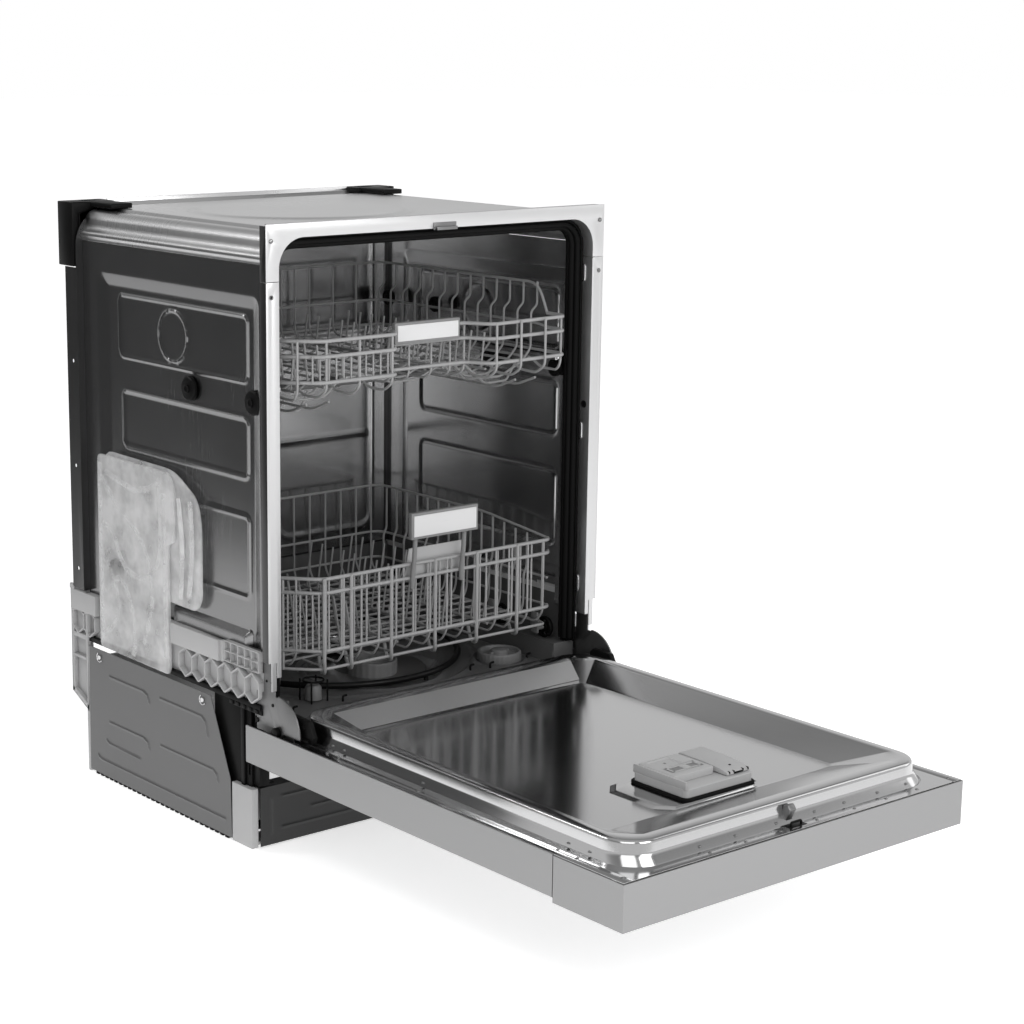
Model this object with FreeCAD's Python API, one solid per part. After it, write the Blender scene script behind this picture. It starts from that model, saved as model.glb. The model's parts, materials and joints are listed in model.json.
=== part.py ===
import FreeCAD, Part
import math
import os

from FreeCAD import Vector

os.makedirs("parts", exist_ok=True)

# Built-in dishwasher, door open at rest. Millimetres.
# The model is drawn with X = 0 on the centre line (+X to the user's right), Y = 0 on the front flange plane
# (+Y towards the back wall) and Z = 0 on the floor. save() moves it back by half the cabinet depth, so the
# origin of the finished part is the middle of the cabinet's footprint at floor level.

CABINET_DEPTH = 532.0
FLANGE_HALF = 299.0          # half the width over the front flange
FLANGE_TOP = 867.0
SHEET = 1.0                  # tub and door sheet steel
MOUTH_HALF = 278.0           # half the width of the tub mouth
MOUTH_TOP = 848.0
MOUTH_RADIUS = 40.0
FLANGE_SPLIT = 792.0         # where the top flange meets the side flanges
COLLAR_DEPTH = 26.0
TUB_HALF = 285.0             # outside of the tub's side walls
TUB_TOP = 858.0
TUB_REAR = 488.0
SHOULDER = 46.0              # radius between side wall and top
SIDE_TOP = 800.0             # seam between a side wall and the top sheet
BASIN_RIM = 283.0            # top of the plastic basin's walls
BASIN_FLOOR = 182.0
SHELF = 211.0                # track that the lower rack's wheels run on
SCREW_X = 290.5              # cabinet fixing holes in the front flange
SCREW_HIGH = 845.0
SCREW_LOW = 772.0
SCREW_R = 2.1
HINGE_Y = -6.0
HINGE_Z = 184.0
HINGE_PIN_R = 5.0
FOOT_SCREW_R = 5.0
RUNNING = 0.05               # radial clearance of a pin in its bore
DOOR_HALF = 298.0
DOOR_FRONT = -686.0          # free end of the open door
DOOR_END = 57.5              # hinge end of the open door's outer skin
DOOR_FACE = 127.0            # outer face of the open door
DOOR_LEDGE = 181.0           # plane of the liner's edge
RIM_TOP = 208.0
WELL_FLOOR = 185.0
LID_BASE = 203.0             # top of the dispenser, under its lids
LID_GAP = 0.3
PANEL_SPLIT = -568.0         # control panel from here to the free end
PANEL_STEP = 5.5
WIRE = 4.0
ARM_Y = 264.0                # axis of both spray arms
ELEMENT_Y = 268.0            # centre of the heating ring
WHEEL_R = 16.5
WHEEL_Z = SHELF + WHEEL_R + 0.3
ROLLER_R = 13.0
ROLLER_Z = 626.0


def save(name, *shapes):
    """Writes one node; several shapes become several solids of it."""
    solids = [solid for shape in shapes for solid in shape.Solids]
    node = Part.makeCompound(solids) if len(solids) > 1 else solids[0]
    node.translate(Vector(0, -CABINET_DEPTH / 2, 0))
    node.exportStep("parts/" + name + ".step")


def box(x0, x1, y0, y1, z0, z1):
    return Part.makeBox(x1 - x0, y1 - y0, z1 - z0, Vector(x0, y0, z0))


def cylinder(x, y, z, radius, length, axis=Vector(0, 0, 1)):
    return Part.makeCylinder(radius, length, Vector(x, y, z), axis)


def along_x(x, y, z, radius, length):
    return cylinder(x, y, z, radius, length, Vector(1, 0, 0))


def fuse(shapes):
    shapes = list(shapes)
    return shapes[0].multiFuse(shapes[1:]).removeSplitter() if len(shapes) > 1 else shapes[0]


def cut(shape, *tools):
    return shape.cut(list(tools)) if len(tools) > 1 else shape.cut(tools[0])


def mirrored(shape):
    return shape.mirror(Vector(0, 0, 0), Vector(1, 0, 0))


def both_sides(shape):
    return shape, mirrored(shape)


def plate_yz(points, x0, x1):
    """A flat plate with an outline in Y and Z, between two X planes."""
    wire = Part.makePolygon([Vector(x0, y, z) for y, z in points + points[:1]])
    return Part.Face(wire).extrude(Vector(x1 - x0, 0, 0))


def arch(half, top, radius, bottom, y0, y1):
    """A block under an arch: straight sides, a flat top and two rounded top corners."""
    k = radius * (1 - math.sqrt(0.5))
    left = Part.Arc(Vector(-half, y0, top - radius), Vector(-half + k, y0, top - k), Vector(-half + radius, y0, top))
    right = Part.Arc(Vector(half - radius, y0, top), Vector(half - k, y0, top - k), Vector(half, y0, top - radius))
    edges = [
        Part.LineSegment(Vector(-half, y0, bottom), Vector(-half, y0, top - radius)),
        left,
        Part.LineSegment(Vector(-half + radius, y0, top), Vector(half - radius, y0, top)),
        right,
        Part.LineSegment(Vector(half, y0, top - radius), Vector(half, y0, bottom)),
        Part.LineSegment(Vector(half, y0, bottom), Vector(-half, y0, bottom)),
    ]
    return Part.Face(Part.Wire([edge.toShape() for edge in edges])).extrude(Vector(0, y1 - y0, 0))


def rounded_slab(half, y0, y1, z0, z1, radius, draft=0.0, front_draft=0.0):
    """A slab with rounded upright corners; the drafts are how much smaller it is at its lower face on each side."""
    sections = []
    for z, inset, front in ((z0, draft, front_draft), (z1, 0.0, 0.0)):
        base = box(-half + inset, half - inset, y0 + front, y1 - inset, z, z + 1)
        upright = [e for e in base.Edges if abs(e.tangentAt(e.FirstParameter).z) > 0.9]
        rounded = base.makeFillet(max(radius - inset / 2, 6.0), upright)
        sections.append([f for f in rounded.Faces if f.normalAt(0, 0).z < -0.9][0].OuterWire)
    return Part.makeLoft(sections, True, True)


# ---------------------------------------------------------------- front flange and tub shell

def mouth_collar():
    outer = arch(MOUTH_HALF + 1.2, MOUTH_TOP + 1.2, MOUTH_RADIUS + 1.2, 258, 0, COLLAR_DEPTH)
    inner = arch(MOUTH_HALF, MOUTH_TOP, MOUTH_RADIUS, 250, -1, COLLAR_DEPTH + 1)
    return outer.cut(inner)


def fixing_hole(x, z):
    return cylinder(x, -5, z, SCREW_R, 20, Vector(0, 1, 0))


def flange_top():
    plate = box(-FLANGE_HALF, FLANGE_HALF, 0, 1.2, FLANGE_SPLIT + 0.3, FLANGE_TOP)
    plate = plate.cut(arch(MOUTH_HALF, MOUTH_TOP, MOUTH_RADIUS, 700, -1, 3))
    returns = [box(FLANGE_HALF - 1.2, FLANGE_HALF, 0, 28, FLANGE_SPLIT + 0.3, FLANGE_TOP - 2)]
    returns.append(mirrored(returns[0]))
    lip = box(-FLANGE_HALF + 8, FLANGE_HALF - 8, 0, 14, FLANGE_TOP - 1.2, FLANGE_TOP)
    collar = mouth_collar().common(box(-400, 400, -1, 40, FLANGE_SPLIT + 0.3, 900))
    shape = fuse([plate, collar, lip] + returns)
    return cut(shape, fixing_hole(SCREW_X, SCREW_HIGH), fixing_hole(-SCREW_X, SCREW_HIGH))


def flange_side():
    """Right-hand side flange: front strip, outer return and the collar inside the mouth."""
    top = FLANGE_SPLIT - 0.3
    strip = box(MOUTH_HALF, FLANGE_HALF, 0, 1.2, 240, top)
    outer_return = box(FLANGE_HALF - 1.2, FLANGE_HALF, 0, 28, 280, top)
    collar = mouth_collar().common(box(0, 400, -1, 40, 258, top))
    shape = fuse([strip, outer_return, collar])
    outer_step = box(294, 300, -1, 2, 230, 280)
    inner_step = box(MOUTH_HALF - 1, 284.8, -1, 2, 230, 258)
    slot = box(284.8, 286, -1, 2, 230, 279)
    return cut(shape, fixing_hole(SCREW_X, SCREW_LOW), outer_step, inner_step, slot)


def tub_top():
    outer = arch(TUB_HALF, TUB_TOP, SHOULDER, SIDE_TOP, 1.2, TUB_REAR)
    inner = arch(TUB_HALF - SHEET, TUB_TOP - SHEET, SHOULDER - SHEET, SIDE_TOP - 1, 0, TUB_REAR + 1)
    return outer.cut(inner)


def tub_side():
    wall = box(TUB_HALF - SHEET, TUB_HALF, 1.2, TUB_REAR, BASIN_RIM - 21, SIDE_TOP)
    return cut(wall, *[along_x(250, y, ROLLER_Z, 6.2, 60) for y in (55.6, 210.6)])


def tub_back():
    sheet = arch(296, TUB_TOP, 56, BASIN_RIM - 21, TUB_REAR, TUB_REAR + 1.5)
    corner = box(285.5, 300, TUB_REAR - 1, TUB_REAR + 3, 200, BASIN_RIM + 1)
    sheet = cut(sheet, corner, mirrored(corner))
    wing = box(294.5, 296, TUB_REAR + 1.5, 520, BASIN_RIM + 2, 771)
    for z in (316, 474, 632):
        wing = wing.cut(along_x(290, 503.5, z, 3, 10))
    return fuse([sheet, wing, mirrored(wing)])


def mouth_gasket():
    outer = arch(283.8, 855, 45, 213, COLLAR_DEPTH + 0.4, 40)
    inner = arch(266, 838, 30, 205, COLLAR_DEPTH - 1, 41)
    lip = arch(277.6, 847.6, 39.6, 213, 20, COLLAR_DEPTH + 0.4)
    lip = lip.cut(arch(274, 844, 36, 205, 19, 41))
    return fuse([outer.cut(inner), lip])


def tub_floor():
    half = TUB_HALF - SHEET - 0.2
    rear = TUB_REAR - 0.2
    pieces = [
        box(-245, 245, 30, rear, BASIN_FLOOR - 3, BASIN_FLOOR),
        box(-half, half, rear - 3, rear, BASIN_FLOOR - 3, BASIN_RIM),
        box(-245, 245, 30, 33, 158, 196),
    ]
    for side in (1, -1):
        x0, x1 = sorted((side * 242, side * 245))
        pieces.append(box(x0, x1, 30, rear, BASIN_FLOOR - 3, SHELF))
        x0, x1 = sorted((side * 242, side * half))
        pieces.append(box(x0, x1, 30, rear, SHELF - 3, SHELF))
        pieces.append(box(x0, x1, 30, 33, 158, SHELF))
        x0, x1 = sorted((side * (half - 3), side * half))
        pieces.append(box(x0, x1, 41, rear, SHELF - 3, BASIN_RIM))
    shape = fuse(pieces)
    shape = shape.cut(cylinder(0, 160, 150, 60, 60))
    spindle_base = cylinder(0, ARM_Y, BASIN_FLOOR - 3, 20, 9)
    spindle = cylinder(0, ARM_Y, BASIN_FLOOR, 8, 34)
    float_tube = cylinder(-158, 92, BASIN_FLOOR - 3, 13, 4).cut(cylinder(-158, 92, 150, 5, 60))
    shape = fuse([shape.cut(cylinder(-158, 92, 150, 13, 60)), spindle_base, spindle, float_tube])
    return shape.cut(cylinder(190, 92, 150, 24.2, 60))


def rear_top_rail():
    upright = box(-223, 223, 518, 519.5, 840, FLANGE_TOP)
    shelf = box(-223, 223, 492, 519.5, 859.5, 861)
    return fuse([upright, shelf]).cut(cylinder(-110, 500, 853, 3, 40, Vector(0, 1, 0)))


def corner_bracket():
    """Right-hand black bracket that guards the rear top corner; a slot goes through its upper part."""
    side = box(286, FLANGE_HALF, 492, 533, 772.5, 866)
    top = box(226, FLANGE_HALF, 492, 533, 846, 866)
    lug = box(232, 268, 432, 492, TUB_TOP + 0.6, 866)
    shape = fuse([side, top, lug])
    window = box(240, 270, 508, 522, 830, 880)
    hollow = box(288.5, 296.5, 498, 540, 780, 843)
    return cut(shape, window, hollow)


# ---------------------------------------------------------------- base

def base_frame():
    pieces = [
        box(-294, 294, 484, 490, 0, 178),
        box(-287, 287, 62, 67, 104, 176),
        box(-250, 250, 452, 484, 0, 5),
        box(-280, 280, 62, 97, 0, 5),
    ]
    for side in (1, -1):
        for x_in, x_out, y0, y1, z0, z1 in (
            (288, 294, 97, 490, 0, 212),
            (286, 294, 62, 104, 88, 256),
            (286, 294, 104, 532, 212, 256),
            (286, 296, 62, 530, 256, 259),
            (292.6, 296, 62, 530, 259, 283),
            (282, 295, 49, 97, 0, 88),
            (250, 288, 97, 484, 0, 5),
            (218, 242, 118, 142, 12, 60),
            (240, 290, 118, 142, 12, 16),
            (218, 242, 418, 442, 12, 60),
            (240, 290, 418, 442, 12, 16),
        ):
            x0, x1 = sorted((side * x_in, side * x_out))
            pieces.append(box(x0, x1, y0, y1, z0, z1))
    shape = fuse(pieces)
    for x in (-230, 230):
        for y in (130, 430):
            shape = shape.cut(cylinder(x, y, 0, FOOT_SCREW_R + RUNNING, 70))
    inlet = cylinder(-150, 480, 60, 13.3, 20, Vector(0, 1, 0))
    drain = cylinder(150, 480, 60, 10.0, 20, Vector(0, 1, 0))
    tank_gap = box(-300, -285.4, 251, 446, 212, 300)
    return cut(shape, inlet, drain, tank_gap)


def side_plate():
    outline = [(480, 200), (149.5, 200), (102, 90), (99.5, 4), (483, 4)]
    return plate_yz(outline, 294, 295)


def kick_plate():
    outline = [(47, 3), (47, 88), (60, 95), (60.8, 93.4), (48.6, 86.8), (48.6, 3)]
    return plate_yz(outline, -281.5, 281.5)


def hinge_plate():
    """Right-hand hinge plate: an arm behind the flange and a quarter round in front, centred on the pin."""
    x0, x1 = 286.0, 288.5
    arm = box(x0, x1, 2, 27, HINGE_Z, 420)
    foot = box(x0, x1, HINGE_Y, 44, HINGE_Z - 6, 232)
    disc = along_x(x0, HINGE_Y, HINGE_Z, 50, x1 - x0)
    quarter = disc.common(box(x0, x1, -80, HINGE_Y, HINGE_Z, 260))
    bore = along_x(270, HINGE_Y, HINGE_Z, HINGE_PIN_R, 40)
    seat = along_x(x0, HINGE_Y, HINGE_Z, 11, x1 - x0)
    return fuse([arm, foot, quarter, seat]).cut(bore)


def hinge_pin():
    """Shank through the hinge plate and the door's arm, with a bush on its outer end."""
    shank = along_x(280.4, HINGE_Y, HINGE_Z, HINGE_PIN_R, 8.1)
    bush = along_x(288.5, HINGE_Y, HINGE_Z, 7, 7)
    return fuse([shank, bush])


def door_strike():
    plate = box(-20, 20, -1.2, 0, 846, 856)
    prongs = [box(x, x + 5, -6.5, -1.2, 846, 850.5) for x in (-18, 13)]
    return fuse([plate, box(-18, 18, -6.5, -4.5, 846, 850.5)] + prongs)


# ---------------------------------------------------------------- water path and machine compartment

def heating_element():
    """Tubular ring that lies just above the basin's floor on three clips."""
    ring = Part.makeTorus(196, 4, Vector(0, ELEMENT_Y, BASIN_FLOOR + 9.5))
    clips = []
    for angle in (40, 160, 280):
        x = 196 * math.cos(math.radians(angle))
        y = ELEMENT_Y + 196 * math.sin(math.radians(angle))
        clips.append(cylinder(x, y, BASIN_FLOOR, 3, 8))
    return fuse([ring] + clips)


def filter_plate():
    disc = cylinder(0, 190, BASIN_FLOOR + 0.1, 96, 1.2)
    return cut(disc, cylinder(0, 160, 150, 39, 60), cylinder(0, ARM_Y, 150, 20.6, 60))


def filter_cup():
    wall = cylinder(0, 160, 128, 37, 74).cut(cylinder(0, 160, 132, 34, 80))
    bridge = box(-34.5, 34.5, 157, 163, 190, 198)
    return fuse([wall, bridge])


def sump():
    bowl = cylinder(0, 160, 104, 63, BASIN_FLOOR - 3 - 104).cut(cylinder(0, 160, 108, 59.5, 90))
    neck = along_x(60, 160, 128, 18, 46).cut(along_x(50, 160, 128, 14.5, 70))
    bowl = bowl.cut(along_x(50, 160, 128, 14.5, 30))
    drain = along_x(-104, 160, 122, 13, 44).cut(along_x(-110, 160, 122, 10, 60))
    bowl = bowl.cut(along_x(-80, 160, 122, 10, 30))
    return fuse([bowl, neck, drain])


def wash_pump():
    volute = along_x(106.2, 160, 128, 44, 30)
    motor = along_x(136.2, 160, 128, 38, 74)
    shaft_cap = along_x(210.2, 160, 128, 12, 8)
    riser = cylinder(121, 195, 128, 14, 50).cut(cylinder(121, 195, 140, 11, 40))
    return fuse([volute, motor, shaft_cap, riser])


def drain_pump():
    body = along_x(-160, 160, 122, 26, 55.8)
    motor = box(-196, -160, 138, 182, 100, 144)
    outlet = cylinder(-132, 186, 122, 8, 20, Vector(0, 1, 0))
    return fuse([body, motor, outlet])


def inlet_valve():
    """Solenoid valve whose threaded nose passes out through the base's rear wall."""
    neck = cylinder(-150, 460, 60, 12.5, 31, Vector(0, 1, 0))
    thread = cylinder(-150, 491, 60, 13.1, 17, Vector(0, 1, 0))
    nose = fuse([neck, thread]).cut(cylinder(-150, 470, 60, 9, 60, Vector(0, 1, 0)))
    body = box(-168, -132, 420, 460, 44, 78)
    coil = cylinder(-150, 440, 78, 15, 28)
    return fuse([nose, body, coil])


def water_softener():
    tank = box(130, 238, 300, 410, 96, 172)
    stem = cylinder(190, 92, 120, 24, BASIN_FLOOR - 120)
    stem = stem.cut(cylinder(190, 92, 124, 20, 90))
    duct = fuse([box(221, 241, 82, 302, 148, 170), box(211, 241, 82, 102, 148, 170)])
    return fuse([tank, stem, duct])


def salt_cap():
    body = cylinder(190, 92, BASIN_FLOOR + 0.3, 33, 16).cut(cylinder(190, 92, BASIN_FLOOR, 25, 8))
    grip = box(165, 215, 87, 97, BASIN_FLOOR + 16, BASIN_FLOOR + 22)
    plug = cylinder(190, 92, BASIN_FLOOR - 12, 19.9, 20)
    return fuse([body, grip, plug])


def float_cap():
    stem = cylinder(-158, 92, 150, 4.95, 34)
    cap = cylinder(-158, 92, BASIN_FLOOR + 1.3, 12, 20).cut(cylinder(-158, 92, BASIN_FLOOR, 9, 14))
    return fuse([stem, cap, cylinder(-158, 92, 183, 4.95, 18)])


def air_break_tank():
    """Flat translucent water tank on the outside of the left wall, wider and thicker towards the rear."""
    outline = [(254, 213), (254, 398), (236, 398), (236, 482), (250, 503), (443, 503), (443, 213)]
    low = plate_yz(outline, -295.5, -285.6)
    high = plate_yz([(176, 311), (176, 482), (236, 482), (236, 311)], -292, -285.6)
    return fuse([low, high])


def feed_pipe():
    """Flat duct up the inside of the back wall that feeds the upper spray arm."""
    return box(-16, 16, 474, TUB_REAR - 3.6, 200, 846)


def door_spring(side):
    """Close-wound counterbalance spring, drawn as its outer tube with an eye at each end."""
    tube = cylinder(side * 272, 210, 60, 9, 170, Vector(0, 1, 0))
    tube = tube.cut(cylinder(side * 272, 215, 60, 6.5, 160, Vector(0, 1, 0)))
    anchor = box(side * 272 - 2, side * 272 + 2, 379, 440, 56, 64)
    return fuse([tube, anchor])


def foot():
    disc = cylinder(0, 0, 0, 18, 7)
    return fuse([disc, cylinder(0, 0, 7, FOOT_SCREW_R, 60)])


def spray_arm(z, half, width, hub_radius, hub_depth):
    """Two-winged arm: a flat blade with round ends on a hub that turns on a spindle."""
    blade = box(-half + width / 2, half - width / 2, ARM_Y - width / 2, ARM_Y + width / 2, z, z + 13)
    ends = [cylinder(s * (half - width / 2), ARM_Y, z, width / 2, 13) for s in (1, -1)]
    hub = cylinder(0, ARM_Y, z - hub_depth, hub_radius, hub_depth + 4)
    return fuse([blade, hub] + ends)


def lower_spray_arm():
    return spray_arm(206, 206, 54, 17, 14).cut(cylinder(0, ARM_Y, 180, 8 + RUNNING, 37))


def upper_spray_arm():
    return spray_arm(596, 198, 44, 15, 0).cut(cylinder(0, ARM_Y, 599, 7 + RUNNING, 20))


def wall_roller(y):
    """Roller inside the tub that carries the upper rack's rail, with its axle out through the wall."""
    wheel = along_x(254, y, ROLLER_Z, ROLLER_R, 25)
    axle = along_x(279, y, ROLLER_Z, 6, 9)
    return fuse([wheel, axle])


# ---------------------------------------------------------------- door

def outer_panel():
    face = box(-DOOR_HALF, DOOR_HALF, PANEL_SPLIT, DOOR_END, DOOR_FACE, DOOR_FACE + SHEET)
    side = box(DOOR_HALF - SHEET, DOOR_HALF, PANEL_SPLIT, DOOR_END, DOOR_FACE, DOOR_LEDGE - 1.2)
    end = box(-DOOR_HALF, DOOR_HALF, DOOR_END - SHEET, DOOR_END, DOOR_FACE, DOOR_FACE + 14)
    return fuse([face, side, mirrored(side), end])


def button_hole(x, length):
    return box(x - length / 2 - 0.3, x + length / 2 + 0.3, -636.3, -623.7, 100, 140)


def control_panel():
    """Deeper section at the free end of the door; on a shut door it is the strip with the controls."""
    low = DOOR_FACE - PANEL_STEP
    outer = box(-DOOR_HALF, DOOR_HALF, DOOR_FRONT, PANEL_SPLIT - 0.4, low, DOOR_LEDGE - 1.2)
    inner = box(-DOOR_HALF + 2, DOOR_HALF - 2, DOOR_FRONT + 2, PANEL_SPLIT + 5, low + 2, 200)
    grip = box(-90, 90, -600, -572, low - 1, low + 16)
    pocket = box(-92, 92, -602, PANEL_SPLIT - 0.4, low + 2, low + 18).cut(grip)
    return cut(fuse([outer.cut(inner), pocket]), grip, button_hole(-230, 26), button_hole(230, 26))


def inner_liner():
    """Pressed steel liner: flat ledge, a raised rim and a shallow well with sloping walls."""
    ledge = box(-DOOR_HALF + 1.2, DOOR_HALF - 1.2, DOOR_FRONT + 2.2, -66, DOOR_LEDGE - SHEET, DOOR_LEDGE)
    tongue = box(-280, 280, -66, 8, DOOR_LEDGE - SHEET, DOOR_LEDGE)
    rim = rounded_slab(262, -655, -12, DOOR_LEDGE - SHEET, RIM_TOP, 42)
    rim_inside = rounded_slab(261, -654, -13, DOOR_LEDGE - 5, RIM_TOP - SHEET, 41)
    well = rounded_slab(245, -632, -32, WELL_FLOOR, RIM_TOP + 0.02, 28, 43, 82)
    well_outside = rounded_slab(246, -633, -31, WELL_FLOOR - SHEET, RIM_TOP, 29, 43, 82)
    shape = fuse([ledge, tongue, rim]).cut(rim_inside)
    shape = fuse([shape, well_outside]).cut(well)
    latch_slot = box(-14, 14, -677, -652, 170, 202)
    dispenser_hole = box(-61, 61, -548, -452, 150, 190)
    return cut(shape, latch_slot, dispenser_hole)


def hinge_arm():
    """Steel arm inside the door's edge that turns on the hinge pin."""
    x0, x1 = 281.0, 284.0
    bar = box(x0, x1, -230, HINGE_Y, 152, 176)
    hub = along_x(x0, HINGE_Y, HINGE_Z, 14, x1 - x0)
    neck = box(x0, x1, -36, HINGE_Y, 164, 182)
    return fuse([bar, neck, hub]).cut(along_x(270, HINGE_Y, HINGE_Z, HINGE_PIN_R + RUNNING, 30))


def dispenser_body():
    """Dispenser with a detergent cup under the sliding lid and a rinse-aid filler under the flap beside it."""
    block = box(-60, 60, -547, -453, 150, LID_BASE)
    under = WELL_FLOOR - SHEET
    block = fuse([block, box(-65, 65, -552, -448, under - 2, under)])
    cup = box(-46, 6, -513, -464, 162, 210)
    filler = cylinder(38, -490, 170, 12, 60)
    return cut(block, cup, filler)


def detergent_lid():
    return box(-56, 14, -523, -457, LID_BASE + LID_GAP, 213)


def rinse_lid():
    """Flap over the rinse-aid filler, hinged along its right-hand edge, with a finger tab at the front."""
    flap = box(18, 59, -541, -455, LID_BASE + LID_GAP, 212)
    return fuse([flap, box(30, 46, -545, -541, LID_BASE + LID_GAP, 207)])


def door_latch():
    """Lever that hooks the strike; it rocks about a crosswise pin under the ledge."""
    outline = [(-662, 168), (-656, 168), (-651, 186), (-656, 199), (-661, 199), (-660, 186)]
    return plate_yz(outline, -6, 6)


def button(x, length):
    return box(x - length / 2, x + length / 2, -636, -624, DOOR_FACE - PANEL_STEP - 0.6, DOOR_FACE + 6)


# ---------------------------------------------------------------- racks

def bar(a, b, width=WIRE):
    """A straight square wire between two points that differ along one axis only."""
    h = width / 2
    low = [min(p, q) - h for p, q in zip(a, b)]
    high = [max(p, q) + h for p, q in zip(a, b)]
    return box(low[0], high[0], low[1], high[1], low[2], high[2])


def spaced(first, last, count):
    return [first + (last - first) * i / (count - 1) for i in range(count)]


def grille_side(x, y0, y1, heights, uprights):
    """Side of a basket: long wires at the given heights joined by upright wires."""
    wires = [bar((x, y0, z), (x, y1, z)) for z in heights]
    wires += [bar((x, y, min(heights)), (x, y, max(heights)), 3) for y in spaced(y0 + 30, y1 - 30, uprights)]
    return fuse(wires)


def grille_end(y, half, heights, uprights):
    wires = [bar((-half, y, z), (half, y, z)) for z in heights]
    wires += [bar((x, y, min(heights)), (x, y, max(heights)), 3) for x in spaced(-half, half, uprights)]
    return fuse(wires)


def grille_floor(z, half, y0, y1, across, lengthwise):
    wires = [bar((-half, y, z), (half, y, z)) for y in spaced(y0, y1, across)]
    wires += [bar((x, y0, z), (x, y1, z)) for x in spaced(-half, half, lengthwise)]
    return fuse(wires)


def tine_row(x, y0, y1, count, low, high):
    wires = [bar((x, y0 - 8, low), (x, y1 + 8, low), 3)]
    wires += [bar((x, y, low), (x, y, high), 3) for y in spaced(y0, y1, count)]
    return fuse(wires)


LOWER_HALF = 244.0
LOWER_FRONT, LOWER_BACK = 40.0, 462.0
LOWER_HEIGHTS = (268.0, 351.0, 371.0)
LOWER_FLOOR = 244.0
WHEEL_YS = (68.0, 170.0, 335.0, 437.0)
UPPER_HALF = 244.0
UPPER_FRONT, UPPER_BACK = 32.0, 456.0
UPPER_HEIGHTS = (651.0, 686.0, 707.0)
UPPER_FLOOR = 630.0


def lower_basket():
    """Five grilles, posts at the corners that join them, and two fixed rows of tines."""
    low = LOWER_HEIGHTS[0]
    side = grille_side(LOWER_HALF, LOWER_FRONT + 6, LOWER_BACK - 6, LOWER_HEIGHTS, 9)
    rails = [box(x - 2, x + 2, LOWER_FRONT + 2.2, LOWER_BACK - 2.2, LOWER_FLOOR + 2.2, low - 2.2)
             for x in (-236, 236)]
    axles = [along_x(s * 238 if s > 0 else -256, y, WHEEL_Z, 3, 18) for s in (1, -1) for y in WHEEL_YS]
    brackets = [box(s * 240 - 2, s * 240 + 2, y - 5, y + 5, WHEEL_Z - 5, LOWER_FLOOR + 10)
                for s in (1, -1) for y in WHEEL_YS]
    floor = fuse([grille_floor(LOWER_FLOOR, 232, LOWER_FRONT + 4, LOWER_BACK - 4, 12, 9)] + rails)
    gear = [fuse([a, b]) for a, b in zip(axles, brackets)]
    ends = [grille_end(y, LOWER_HALF + 2, LOWER_HEIGHTS, 13) for y in (LOWER_FRONT, LOWER_BACK)]
    tines = [tine_row(x, 80, 420, 12, LOWER_FLOOR + 4, LOWER_FLOOR + 74) for x in (70, 150)]
    return [floor, side, mirrored(side)] + ends + gear + tines


def lower_wheels(y):
    wheel = along_x(256.3, y, WHEEL_Z, WHEEL_R, 7).cut(along_x(250, y, WHEEL_Z, 3 + RUNNING, 20))
    return both_sides(wheel)


def lower_handle():
    """Handle plate on two posts that clip over the front wires."""
    plate = box(-36, 86, 24, 34, 410, 448)
    posts = [box(x - 4, x + 4, 26, 34, 346, 410) for x in (-24, 66)]
    return fuse([plate] + posts)


def lower_tines():
    return tine_row(-95, 80, 420, 12, LOWER_FLOOR + 5, LOWER_FLOOR + 76)


def upper_basket():
    low = UPPER_HEIGHTS[0]
    side_heights = (low, UPPER_HEIGHTS[1], 750.0)
    side = grille_side(UPPER_HALF, UPPER_FRONT + 6, UPPER_BACK - 6, side_heights, 11)
    floor = fuse([
        grille_floor(UPPER_FLOOR, 232, UPPER_FRONT + 4, UPPER_BACK - 4, 12, 9),
        bar((-236, UPPER_FRONT + 4, low - 10), (-236, UPPER_BACK - 4, low - 10), 8),
        bar((236, UPPER_FRONT + 4, low - 10), (236, UPPER_BACK - 4, low - 10), 8),
        bar((-236, 100, UPPER_FLOOR), (-236, 100, low - 10)),
        bar((236, 100, UPPER_FLOOR), (236, 100, low - 10)),
        bar((-236, 100, UPPER_FLOOR), (236, 100, UPPER_FLOOR)),
    ])
    ends = [grille_end(y, UPPER_HALF + 2, UPPER_HEIGHTS, 13) for y in (UPPER_FRONT, UPPER_BACK)]
    rail_z = ROLLER_Z + ROLLER_R + 0.4
    rail = box(UPPER_HALF + 2.4, 264.8, UPPER_FRONT + 8, UPPER_BACK, rail_z, rail_z + 2)
    spindle = fuse([
        cylinder(0, ARM_Y, 600, 7, UPPER_FLOOR - 602.4),
        box(-10, 10, ARM_Y - 70, ARM_Y + 70, UPPER_FLOOR - 8, UPPER_FLOOR - 2.4),
    ])
    tines = [tine_row(x, 80, 400, 10, UPPER_FLOOR + 4, UPPER_FLOOR + 56) for x in (-150, 60, 140)]
    return [floor, side, mirrored(side), rail, mirrored(rail), spindle] + ends + tines


def upper_handle():
    return box(-65, 51, 24.6, 29.6, 689, 719)


# ---------------------------------------------------------------- write the nodes

save("flange_top", flange_top())
save("flange_right", flange_side())
save("flange_left", mirrored(flange_side()))
save("tub_top", tub_top())
save("tub_side_right", tub_side())
save("tub_side_left", mirrored(tub_side()))
save("tub_back", tub_back())
save("tub_floor", tub_floor())
save("mouth_gasket", mouth_gasket())
save("rear_top_rail", rear_top_rail())
save("corner_bracket_right", corner_bracket())
save("corner_bracket_left", mirrored(corner_bracket()))
save("base_frame", base_frame())
save("side_plate_right", side_plate())
save("side_plate_left", mirrored(side_plate()))
save("kick_plate", kick_plate())
save("hinge_plate_right", hinge_plate())
save("hinge_plate_left", mirrored(hinge_plate()))
save("hinge_pins", *both_sides(hinge_pin()))
save("door_strike", door_strike())

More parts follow.
